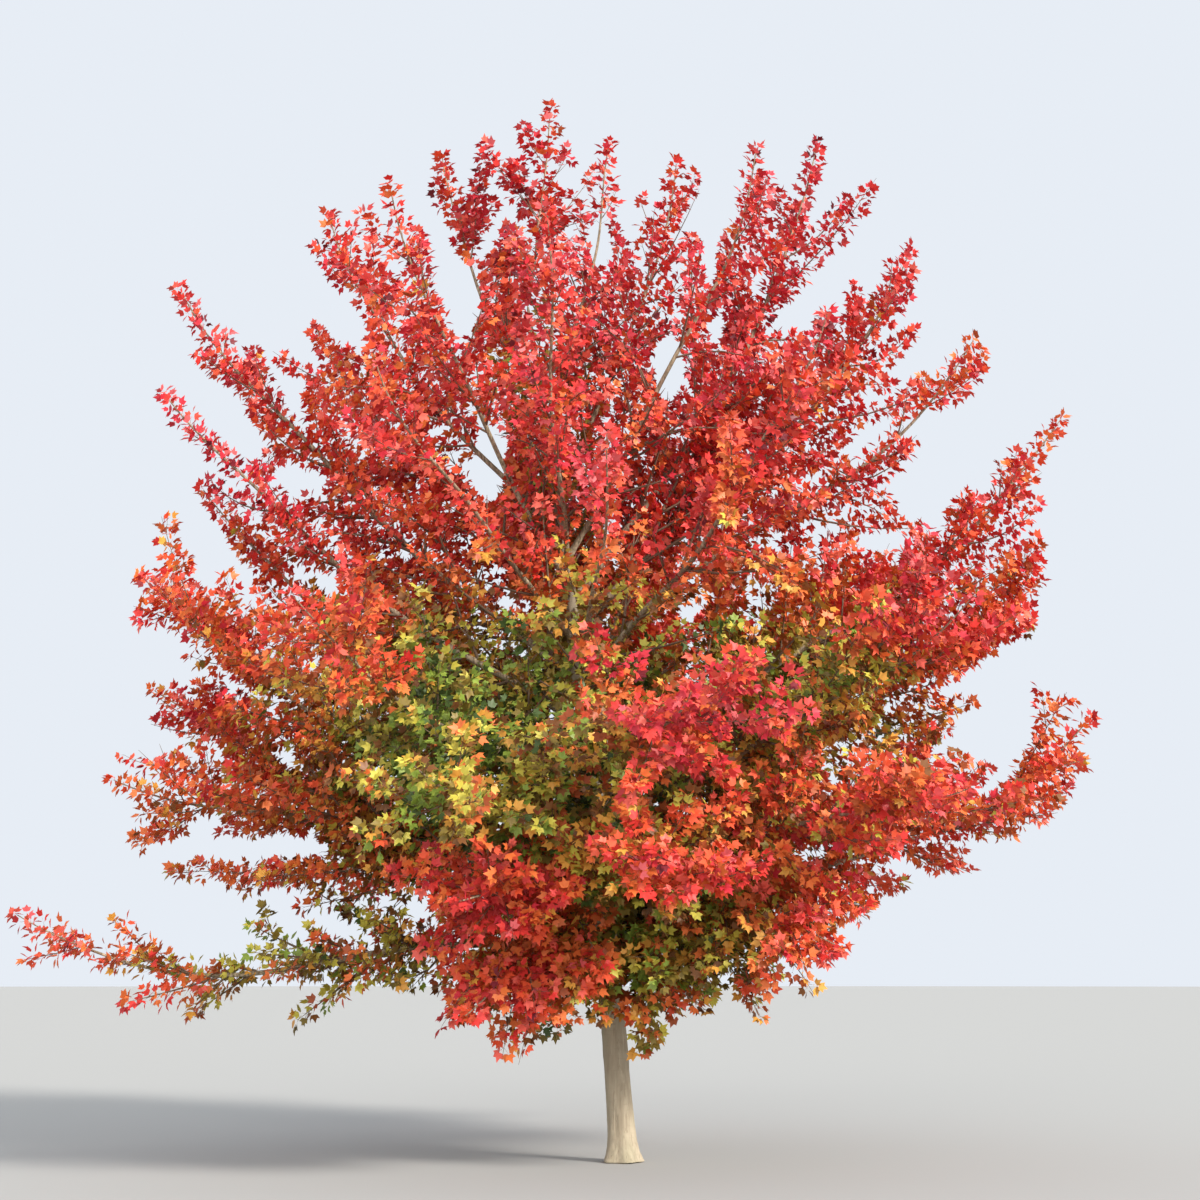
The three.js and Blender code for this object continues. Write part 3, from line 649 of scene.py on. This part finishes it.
# Short shoots stand on the trunk itself, where it runs up inside the crown.
TRUNK_SHOOTS = 92
SHOOTS_FROM, SHOOTS_TO = 2.4, 7.2
TRUNK_SHOOT_RISE = (20, 55)
TRUNK_SHOOT_LENGTH = (0.45, 0.8)
TRUNK_SHOOT_START = 0.18
TRUNK_SHOOT_ROOM = 0.02  # from every limb's line
GOLDEN_TURN = 2.4
random = np.random.RandomState(TREE_SEED)
foot_heights = np.array([limb.foot_height for limb in limbs])
first_on_trunk = len(plumes)
for number, height in enumerate(np.linspace(SHOOTS_FROM, SHOOTS_TO, TRUNK_SHOOTS)):
    turn = GOLDEN_TURN * number
    rise = math.radians(random.uniform(*TRUNK_SHOOT_RISE))
    first = np.array([math.cos(turn) * math.cos(rise), math.sin(turn) * math.cos(rise), math.sin(rise)])
    length = random.uniform(*TRUNK_SHOOT_LENGTH)
    bend = (unit(first + UP * 0.5) - first) * 0.5 / length
    root = trunk_axis(height)
    reaches = (np.arange(3, 9) * length / 8)[:, None]
    points = root + first * reaches + bend * reaches**2
    if not in_gap(points).any() and (distances(points) > TRUNK_SHOOT_ROOM).all():
        limb = limbs[int(np.argmin(abs(foot_heights - height)))]
        plumes.append(SimpleNamespace(
            limb=limb, root=root, first=first, bend=bend, length=length, radius=LONE_SHOOT_RADIUS,
            start=TRUNK_SHOOT_START,
        ))

# Lesser shoots fork from the plumes, to the left and right by turns or all round an upright plume.
SIDE_SPACING = 0.25
SIDE_START = 0.2
SIDE_END = 0.15  # none forks as near the plume's tip as this
LEVEL_SIDE = (0.72, 0.26, 0.3, 0.5)  # the fork's angle, the least length, the spread and the upward
UPRIGHT_SIDE = (0.5, 0.3, 0.36, 1.1)  # bend, on a level limb and on an upswept one
SIDE_FALL = 0.5
SIDE_SLOPE = 1.6  # a side shoot's tip keeps as much below the plume's tip for each metre beside it
SIDE_WIDTH = 0.55  # of its plume
SIDE_TWIGS_START = 0.05
SHORTEST_SIDE = 0.12
SHOOT_TIP = 0.0016
SHOOT_TAPER = 0.8


def shoot_at(shoot, s):
    s = np.asarray(s, float)[..., None]
    return shoot.root + shoot.first * s + shoot.bend * s * s


def shoot_heading(shoot, s):
    return unit(shoot.first + 2 * shoot.bend * np.asarray(s, float)[..., None])


def round_frame(heading):
    """Two directions square to a heading: one level, and one above it."""
    level = unit(np.cross(heading, UP + np.array([0.12, 0.05, 0])))
    return level, np.cross(level, heading)


def stays_in(points, near_limb_tip=False):
    return ((crown_share(points) < 1) | near_limb_tip) & ~in_gap(points)


side_shoots = []
for plume in plumes:
    turn = random.uniform(0, 2 * math.pi)
    s = SIDE_START + SIDE_SPACING * random.uniform(0, 0.8)
    while s < plume.length - SIDE_END:
        heading = shoot_heading(plume, s)
        level, above = round_frame(heading)
        turn += math.pi if plume.limb.layered else GOLDEN_TURN
        spread = turn + random.uniform(-0.5, 0.5)
        outward = level * math.cos(spread) + above * math.sin(spread)
        if plume.limb.layered:
            outward = unit(outward - above * dot(outward, above) * LAYERING)
        angle, least, more, lift = LEVEL_SIDE if plume.limb.layered else UPRIGHT_SIDE
        first = heading * math.cos(angle) + outward * math.sin(angle)
        length = (least + more * random.uniform()) * (1 - SIDE_FALL * s / plume.length)
        bend = (unit(first + UP * lift) - first) * 0.5 / length
        shoot = SimpleNamespace(
            limb=plume.limb, root=shoot_at(plume, s), first=first, bend=bend, length=length,
            radius=plume.radius * SIDE_WIDTH, start=SIDE_TWIGS_START,
        )
        if not plume.limb.layered:
            ahead = np.linspace(0.1, 1, 10) * length
            below = under_tip(shoot_at(shoot, ahead), shoot_at(plume, plume.length), SIDE_SLOPE)
            steps = len(below) if below.all() else int(np.argmin(below))
            shoot.length = float(ahead[steps - 1]) if steps else 0.0
        outer_half = shoot_at(shoot, np.array([0.6, 1.0]) * shoot.length)
        if shoot.length > SHORTEST_SIDE and stays_in(outer_half).all():
            side_shoots.append(shoot)
        s += SIDE_SPACING * random.uniform(0.75, 1.25)


def tubes(lines_of_points, radii, sides):
    """Corners and triangles of many tubes: lines (tube, ring, 3) and radii (tube, ring)."""
    tube_count, ring_count = radii.shape
    headings = unit(np.gradient(lines_of_points, axis=1))
    level, above = round_frame(headings)
    turns = 2 * math.pi * np.arange(sides) / sides
    rings = (
        lines_of_points[:, :, None]
        + radii[..., None, None]
        * (level[:, :, None] * np.cos(turns)[:, None] + above[:, :, None] * np.sin(turns)[:, None])
    )
    here = np.arange(sides)
    beside = (here + 1) % sides
    low = (np.arange(ring_count - 1) * sides)[:, None]
    a, b = low + here, low + beside
    quads = np.stack([a, b, b + sides, a + sides], axis=-1).reshape(-1, 4)
    faces = quads[:, [0, 1, 2, 0, 2, 3]].reshape(-1, 3)
    shift = np.arange(tube_count) * ring_count * sides
    return rings.reshape(-1, 3), (faces + shift[:, None, None]).reshape(-1, 3)


def mesh_piece(name, corners, faces, material):
    mesh = bpy.data.meshes.new(name)
    mesh.vertices.add(len(corners))
    mesh.vertices.foreach_set("co", corners.astype(np.float32).ravel())
    mesh.loops.add(faces.size)
    mesh.loops.foreach_set("vertex_index", faces.astype(np.int32).ravel())
    mesh.polygons.add(len(faces))
    mesh.polygons.foreach_set("loop_start", np.arange(0, faces.size, 3, dtype=np.int32))
    mesh.update(calc_edges=True)
    mesh.materials.append(material)
    piece = bpy.data.objects.new(name, mesh)
    bpy.context.scene.collection.objects.link(piece)
    return piece


def plain_material(name, colour, roughness, specular):
    material = bpy.data.materials.new(name)
    material.use_nodes = True
    shader = material.node_tree.nodes["Principled BSDF"]
    shader.inputs["Base Color"].default_value = linear(colour)
    shader.inputs["Roughness"].default_value = roughness
    shader.inputs["Specular IOR Level"].default_value = specular
    return material


def tapering(shoots, rings):
    shares = np.linspace(0, 1, rings)
    points = np.array([shoot_at(shoot, shares * shoot.length) for shoot in shoots])
    foot = np.array([shoot.radius for shoot in shoots])[:, None]
    return points, SHOOT_TIP + (foot - SHOOT_TIP) * (1 - shares) ** SHOOT_TAPER


masses = [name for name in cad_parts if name.startswith("foliage_")]
shoot_wood = plain_material("shoot_bark", (120, 100, 82), roughness=0.8, specular=0.3)
for name, shoots, rings, sides in (("plume_shoots", plumes, 5, 4), ("side_shoots", side_shoots, 4, 3)):
    piece = mesh_piece(name, *tubes(*tapering(shoots, rings), sides), shoot_wood)
    piece.data.shade_smooth()
    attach(piece, "root")
    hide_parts(*masses)


# Twigs
# Short twigs stand in pairs along every shoot and along the leafy part of every limb, each pair a
# quarter turn on from the last, and shorter towards the shoot's end.
NODE_SPACING = 0.082
LEVEL_SPACING = 0.099  # on a level limb
TWIG_ANGLE = 0.85
TWIG_LIFT = 0.1
TWIG_LENGTH = (0.035, 0.07)  # the least, and what is added away from the shoot's end
SHOOT_END = 0.35
TWIG_RADIUS = 0.0022
UPRIGHT_TWIG = 0.8  # the length of an upswept limb's twigs, against the rest
INNER_CROWN = 0.42
INNER_TWIGS = 0.52  # the share of the twigs that grow in the inner crown, which gets little light
LOW_CROWN, RIGHT_CROWN = 2.6, 0.8  # below and to the right of these, all of them grow
LIMB_LEAVES_FROM = 0.1

parts = {key: [] for key in ("point", "heading", "rank", "left", "limb", "shoot")}


def add_nodes(points, headings, left, limb, shoot_number):
    count = len(points)
    parts["point"].append(points)
    parts["heading"].append(headings)
    parts["rank"].append(np.arange(count))
    parts["left"].append(left)
    parts["limb"].append(np.full(count, limb.index))
    parts["shoot"].append(np.full(count, shoot_number))


for limb in limbs:
    length = limb.reach * (1 - LIMB_LEAVES_FROM)
    spacing = LEVEL_SPACING if limb.layered else NODE_SPACING
    t = LIMB_LEAVES_FROM + (1 - LIMB_LEAVES_FROM) * np.linspace(0, 1, round(length / spacing))
    add_nodes(limb.at(t), limb.frame_at(t)[0], (1 - t) * limb.reach, limb, limb.index)
for number, shoot in enumerate(plumes + side_shoots):
    spacing = LEVEL_SPACING if shoot.limb.layered else NODE_SPACING
    count = max(2, round((shoot.length - shoot.start) / spacing) + 1)
    s = np.linspace(shoot.start, shoot.length, count)
    add_nodes(shoot_at(shoot, s), shoot_heading(shoot, s), shoot.length - s, shoot.limb, len(limbs) + number)
node = SimpleNamespace(**{key: np.concatenate(values) for key, values in parts.items()})

shoot_turn = random.uniform(0, 2 * math.pi, len(limbs) + len(plumes) + len(side_shoots))
layered = np.array([limb.layered for limb in limbs])
both = np.repeat(np.arange(len(node.rank)), 2)
twigs = len(both)
turn = shoot_turn[node.shoot[both]] + node.rank[both] * math.pi / 2 + np.tile([0, math.pi], len(node.rank))
turn += random.uniform(-0.35, 0.35, twigs)
heading = node.heading[both]
twig_root, twig_limb, twig_shoot = node.point[both], node.limb[both], node.shoot[both]
level, above = round_frame(heading)
outward = level * np.cos(turn)[:, None] + above * np.sin(turn)[:, None]
flatten = np.where(layered[twig_limb], LAYERING, 0)[:, None]
outward = unit(outward - above * dot(outward, above) * flatten)
lean = (TWIG_ANGLE + random.uniform(-0.2, 0.2, twigs))[:, None]
twig_heading = unit(heading * np.cos(lean) + outward * np.sin(lean) + UP * TWIG_LIFT)
fullness = np.clip(node.left[both] / SHOOT_END, 0, 1)
twig_length = (TWIG_LENGTH[0] + TWIG_LENGTH[1] * fullness) * random.uniform(0.7, 1.25, twigs)
twig_length *= np.where(layered[twig_limb], 1, UPRIGHT_TWIG)
twig_end = twig_root + twig_heading * twig_length[:, None]
on_limb = twig_shoot < len(limbs)
on_long_limb = twig_limb == [limb.name for limb in limbs].index(LONG_LIMB)
in_light = on_limb | (crown_share(twig_end) > INNER_CROWN)
in_light |= (twig_end[:, 2] < LOW_CROWN) | (twig_end[:, 0] > RIGHT_CROWN)
kept = stays_in(twig_end, on_limb | on_long_limb)
kept &= in_light | (random.uniform(0, 1, twigs) <= INNER_TWIGS)
twig_root, twig_end, twig_heading = twig_root[kept], twig_end[kept], twig_heading[kept]
twig_limb, twig_shoot, twig_length = twig_limb[kept], twig_shoot[kept], twig_length[kept]
twigs = len(twig_root)
level, above = round_frame(twig_heading)
foot_corners = [
    twig_root + TWIG_RADIUS * (level * math.cos(angle) + above * math.sin(angle))
    for angle in (0, 2 * math.pi / 3, 4 * math.pi / 3)
]
twig_corners = np.stack([*foot_corners, twig_end], axis=1).reshape(-1, 3)
one_twig = np.array([(0, 1, 3), (1, 2, 3), (2, 0, 3)])
twig_faces = (one_twig + 4 * np.arange(twigs)[:, None, None]).reshape(-1, 3)
twig_wood = plain_material("twig_bark", (112, 74, 58), roughness=0.7, specular=0.3)
fine_twigs = mesh_piece("fine_twigs", twig_corners, twig_faces, twig_wood)
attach(fine_twigs, "root")
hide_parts(*masses)


# Leaves
# Thin three-lobed leaves on short stalks, one at each twig's end and pairs along it. They face up and
# out from the trunk, and each twig's leaves have one tint, from green through gold to crimson.
LEAF_SIZE = 0.082
LEAF_DROOP = 0.22
STALK_LENGTH = 0.32  # as a share of the leaf's own
LONG_TWIG = 0.1  # a twig that is longer than this bears a second pair of leaves
UPRIGHT_LEAF = 1.02  # the size of an upswept limb's leaves, against the rest
# How much a leaf faces away from the trunk and up, and how much that varies
FACE_OUT, FACE_UP, FACE_SCATTER = 0.9, 0.7, 0.45
# How far along its twig a leaf stands, on which side, how far it splays, and how far its pair is turned
LEAF_PLACES = (
    (1.0, 0, 0, 0), (0.75, 1, 0.95, 0), (0.75, -1, 0.95, 0), (0.35, 1, 1.1, 1), (0.35, -1, 1.1, 1),
)
# One leaf of length 1: the foot of its stalk, then the blade's corners from its base round to its base
LEAF_CORNERS = np.array([
    (-0.016, -0.34, -0.04), (0.016, -0.34, -0.04), (0, 0, 0), (0.33, 0.05, 0.02), (0.53, 0.56, 0.03),
    (0.22, 0.54, 0.08), (0, 1, -0.09), (-0.22, 0.54, 0.08), (-0.53, 0.56, 0.03), (-0.33, 0.05, 0.02),
])
LEAF_FACES = np.array([(0, 1, 2), (2, 3, 4), (2, 4, 5), (2, 5, 6), (2, 6, 7), (2, 7, 8), (2, 8, 9)])
# name, colour, how far into autumn it comes, how common it is, the record's slot
TINTS = [
    # Dark green is the inner leaves' own colour, made darker in part as painted shade inside the crown.
    ("dark_green_and_shade", (70, 90, 40), 0.02, 0.5, "foliage_green"),
    ("leaf_green", (132, 152, 58), 0.12, 1.0, "foliage_green"),
    ("olive", (128, 108, 44), 0.22, 0.8, "foliage_green"),
    ("yellow_green", (194, 182, 72), 0.3, 0.9, "foliage_green"),
    ("brown", (124, 78, 38), 0.38, 0.5, "foliage_amber"),
    ("gold", (214, 154, 64), 0.43, 0.7, "foliage_amber"),
    ("rust", (172, 82, 38), 0.52, 0.7, "foliage_amber"),
    ("orange", (226, 116, 58), 0.6, 1.1, "foliage_amber"),
    ("orange_red", (222, 84, 50), 0.73, 1.2, "foliage_scarlet"),
    # Coral is an orange-pink whose pink is in part a painted sheen of the sky on the leaves.
    ("coral_and_sheen", (226, 96, 80), 0.86, 0.6, "foliage_scarlet"),
    ("scarlet", (220, 60, 54), 0.88, 1.0, "foliage_scarlet"),
    ("deep_scarlet", (184, 50, 50), 0.95, 0.7, "foliage_scarlet"),
    ("crimson", (206, 50, 64), 1.08, 1.0, "foliage_scarlet"),
    # Rose is a pink red whose pink is in part a painted sheen of the sky on the top leaves.
    ("rose_and_sheen", (220, 96, 98), 1.12, 0.5, "foliage_scarlet"),
    # Maroon is a deep red that is in part painted shade on the reddest leaves.
    ("maroon_and_shade", (120, 34, 44), 1.1, 0.14, "foliage_scarlet"),
]
TINT_SPREAD = 0.12


def smooth_step(values, low, high):
    share = np.clip((values - low) / (high - low), 0, 1)
    return share * share * (3 - 2 * share)


pair_turn = random.uniform(0, 2 * math.pi, twigs)
level, above = round_frame(twig_heading)
leaf = SimpleNamespace(root=[], heading=[], twig=[])
for along, side, splay, quarter in LEAF_PLACES:
    borne = np.flatnonzero(twig_length > (LONG_TWIG if quarter else 0))
    turn = pair_turn[borne] + quarter * math.pi / 2 + random.uniform(-0.3, 0.3, len(borne))
    out = (level[borne] * np.cos(turn)[:, None] + above[borne] * np.sin(turn)[:, None]) * side
    leaf.root.append(twig_root[borne] + (twig_end - twig_root)[borne] * along)
    leaf.heading.append(twig_heading[borne] * math.cos(splay) + out * math.sin(splay))
    leaf.twig.append(borne)
leaf_root, leaf_heading, leaf_twig = map(np.concatenate, (leaf.root, leaf.heading, leaf.twig))
count = len(leaf_root)
leaf_heading = unit(leaf_heading - UP * (LEAF_DROOP * random.uniform(0.2, 1.8, count))[:, None])
leaf_length = LEAF_SIZE * random.uniform(0.72, 1.15, count)
leaf_length *= np.where(layered[twig_limb[leaf_twig]], 1, UPRIGHT_LEAF)
from_trunk = unit(leaf_root - trunk_axis(np.clip(leaf_root[:, 2], 0, TRUNK_HEIGHT)))
facing = from_trunk * FACE_OUT + UP * FACE_UP + random.normal(0, FACE_SCATTER, (count, 3))
leaf_across = unit(np.cross(leaf_heading, facing))
leaf_above = np.cross(leaf_across, leaf_heading)
blade = leaf_root + leaf_heading * (STALK_LENGTH * leaf_length)[:, None]
leaf_middle = blade + leaf_heading * (0.5 * leaf_length)[:, None]
kept = ~in_gap(leaf_middle)

# How far each twig has turned. The high limbs have turned all over, and most of the low ones only at
# their ends. It varies by limb, shoot and twig, too. For some limbs: how far at the foot and at the
# tip, and between which shares of the limb's length that changes
AUTUMN = {
    "front_high": (0.3, 0.85, 0.5, 1.0), "front_mid": (0.26, 0.84, 0.5, 0.85),
    "front_left_lower": (0.05, 0.42, 0.3, 1.0), "front_left_mid": (0.12, 0.85, 0.5, 1.0),
    "front_right_mid": (0.34, 0.95, 0.68, 0.95), "front_left_mid_low": (0.3, 0.75, 0.3, 0.7),
    "front_left_low": (0.25, 0.68, 0.3, 0.8), "front_low": (0.15, 0.78, 0.45, 0.9),
    "right_front_low": (0.42, 0.68, 0.2, 0.8), "right_low": (0.4, 0.72, 0.2, 0.6),
    "left_long": (0.42, 0.82, 0.6, 1.0), "front_right_low": (0.3, 0.74, 0.5, 0.9),
    "skirt_front": (0.26, 0.36, 0.2, 1.0), "skirt_back": (0.1, 0.3, 0.2, 1.0),
    "left_lower": (0.34, 0.7, 0.25, 0.95), "left_shoulder": (0.38, 0.95, 0.25, 0.8),
    "right_shoulder": (0.3, 0.76, 0.3, 0.85),
}
# The same for the other limbs, where the first two grow with the height of the limb's foot
FOOT_TURN, FOOT_TURN_MORE, FOOT_TURN_HEIGHTS = 0.15, 0.5, (3.4, 5.6)
TIP_TURN, TIP_TURN_MORE, TIP_TURN_HEIGHTS = 0.8, 0.05, (3.6, 6.0)
ONSET, FULL_TURN = 0.3, 0.85
HIGH_TURN = 0.84
TURN_HEIGHTS = (3.9, 5.6)  # the leaves turn over this height whatever their limb
TOP_TURN = 0.12
TOP_HEIGHTS = (6.0, 8.5)
GLIMPSE = 0.36  # the last green in the red crown, on the shoots of the trunk itself
# Parts of the crown that turn last, whose greens and golds are also in part painted light where the crown's
# own shade falls: the middle and half the size of each, and how far they have come
LATE_AND_LIT_PARTS = (
    ((-0.85, -2.5, 3.25), (1.3, 1.8, 0.85), 0.23), ((1.7, -2.0, 3.75), (0.95, 1.6, 0.5), 0.34),
    ((0.45, -1.5, 1.95), (0.85, 1.3, 0.62), 0.27),
    ((-2.9, -0.3, 2.35), (1.5, 1.0, 0.4), 0.56), ((-2.6, -0.7, 1.7), (1.0, 0.9, 0.5), 0.5),
)
LATE_AND_LIT_SHARE = 0.85
LATE_AND_LIT_EDGE = 0.35
# How much a limb, a twig, and a shoot of a low or a high limb may differ from the rest
LIMB_WHIM, TWIG_WHIM = 0.07, 0.09
LOW_SHOOT_WHIM, HIGH_SHOOT_WHIM, LOW_LIMBS = 0.18, 0.12, 4.2
MOST_TURNED = 1.15
on_trunk = np.zeros(len(shoot_turn), bool)
on_trunk[len(limbs) + first_on_trunk : len(limbs) + len(plumes)] = True
limb_foot = np.array([limb.line[0] for limb in limbs])
limb_reach = np.array([limb.reach for limb in limbs])
near_trunk = FOOT_TURN + FOOT_TURN_MORE * smooth_step(foot_heights, *FOOT_TURN_HEIGHTS)
at_tip = TIP_TURN + TIP_TURN_MORE * smooth_step(foot_heights, *TIP_TURN_HEIGHTS)
onset = np.full(len(limbs), ONSET)
full_turn = np.full(len(limbs), FULL_TURN)
for limb in limbs:
    if limb.name in AUTUMN:
        for values, value in zip((near_trunk, at_tip, onset, full_turn), AUTUMN[limb.name]):
            values[limb.index] = value
twig_middle = (twig_root + twig_end) / 2
progress = np.linalg.norm(twig_middle - limb_foot[twig_limb], axis=1) / limb_reach[twig_limb]
shoot_whim = random.uniform(-1, 1, len(shoot_turn))
limb_whim = random.uniform(-1, 1, len(limbs))
turned = (
    near_trunk[twig_limb]
    + (at_tip - near_trunk)[twig_limb] * smooth_step(progress, onset[twig_limb], full_turn[twig_limb])
)
turned = np.maximum(turned, HIGH_TURN * smooth_step(twig_middle[:, 2], *TURN_HEIGHTS))
turned += TOP_TURN * smooth_step(twig_middle[:, 2], *TOP_HEIGHTS)
turned[on_trunk[twig_shoot] & (twig_middle[:, 2] > TURN_HEIGHTS[0])] = GLIMPSE
# Leaves in these parts shift towards green and gold, in part as painted light in the crown's shade.
for middle, half_size, extent in LATE_AND_LIT_PARTS:
    inward = 1 - np.linalg.norm((twig_middle - middle) / half_size, axis=1)
    turned += (np.minimum(turned, extent) - turned) * LATE_AND_LIT_SHARE * smooth_step(inward, 0, LATE_AND_LIT_EDGE)
turned += (
    LIMB_WHIM * limb_whim[twig_limb]
    + np.where(foot_heights < LOW_LIMBS, LOW_SHOOT_WHIM, HIGH_SHOOT_WHIM)[twig_limb] * shoot_whim[twig_shoot]
    + random.normal(0, TWIG_WHIM, twigs)
)
turned = np.clip(turned, 0, MOST_TURNED)
centres = np.array([tint[2] for tint in TINTS])
shares = np.array([tint[3] for tint in TINTS])
chances = shares * np.exp(-(((turned[:, None] - centres) / TINT_SPREAD) ** 2))
chances = np.cumsum(chances, axis=1)
pick = random.uniform(0, 1, twigs) * chances[:, -1]
twig_tint = (pick[:, None] > chances).sum(axis=1)

leaf_tint = twig_tint[leaf_twig]
limb_masses = np.array(["foliage_" + limb.name for limb in limbs])
for number, (name, colour, _, _, slot) in enumerate(TINTS):
    some = np.flatnonzero(kept & (leaf_tint == number))
    size = leaf_length[some][:, None, None]
    corners = blade[some][:, None] + size * (
        LEAF_CORNERS[:, 0, None] * leaf_across[some][:, None]
        + LEAF_CORNERS[:, 1, None] * leaf_heading[some][:, None]
        + LEAF_CORNERS[:, 2, None] * leaf_above[some][:, None]
    )
    faces = LEAF_FACES + len(LEAF_CORNERS) * np.arange(len(some))[:, None, None]
    material = plain_material("leaf_" + name, colour, roughness=0.5, specular=0.4)
    leaves = mesh_piece("leaves_" + name, corners.reshape(-1, 3), faces.reshape(-1, 3), material)
    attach(leaves, "root")
    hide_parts(*limb_masses[np.unique(twig_limb[leaf_twig[some]])].tolist())


# Studio
# The tree stands on a pale floor. A broad sun from the right and a softer one from the front light it,
# under a pale sky, and the camera looks up at it from a standing person's eye height.
FLOOR_RADIUS = 300
SKY = (226, 232, 240)
SKY_STRENGTH = 1.05
CAMERA_PLACE = (-0.202, -17, 1.6)
CAMERA_PITCH = 11.43
SENSOR_WIDTH, LENS = 36, 55.84  # in millimetres
FARTHEST = 1000


def sun(name, place, spread, energy, colour):
    bpy.ops.object.light_add(type="SUN", location=place)
    light = bpy.context.object
    light.name = name
    light.data.angle = math.radians(spread)
    light.data.energy = energy
    light.data.color = colour
    light.rotation_euler = Vector(place).to_track_quat("Z", "Y").to_euler()


bpy.ops.mesh.primitive_circle_add(vertices=96, radius=FLOOR_RADIUS, fill_type="NGON")
floor = bpy.context.object
floor.name = "floor"
floor.data.materials.append(plain_material("floor_paint", (171, 171, 169), roughness=0.9, specular=0.1))

world = bpy.data.worlds.new("studio_air")
world.use_nodes = True
world.node_tree.nodes["Background"].inputs["Color"].default_value = linear(SKY)
world.node_tree.nodes["Background"].inputs["Strength"].default_value = SKY_STRENGTH
bpy.context.scene.world = world
sun("key", place=(52, -40, 36), spread=12, energy=4.65, colour=(1.0, 0.95, 0.88))
sun("fill", place=(-4, -50, 10), spread=70, energy=1.85, colour=(1.0, 0.97, 0.92))

bpy.ops.object.camera_add(location=CAMERA_PLACE, rotation=(math.radians(90 + CAMERA_PITCH), 0, 0))
camera = bpy.context.object
camera.data.sensor_width = SENSOR_WIDTH
camera.data.lens = LENS
camera.data.clip_end = FARTHEST
bpy.context.scene.camera = camera
bpy.context.scene.view_settings.view_transform = "Standard"
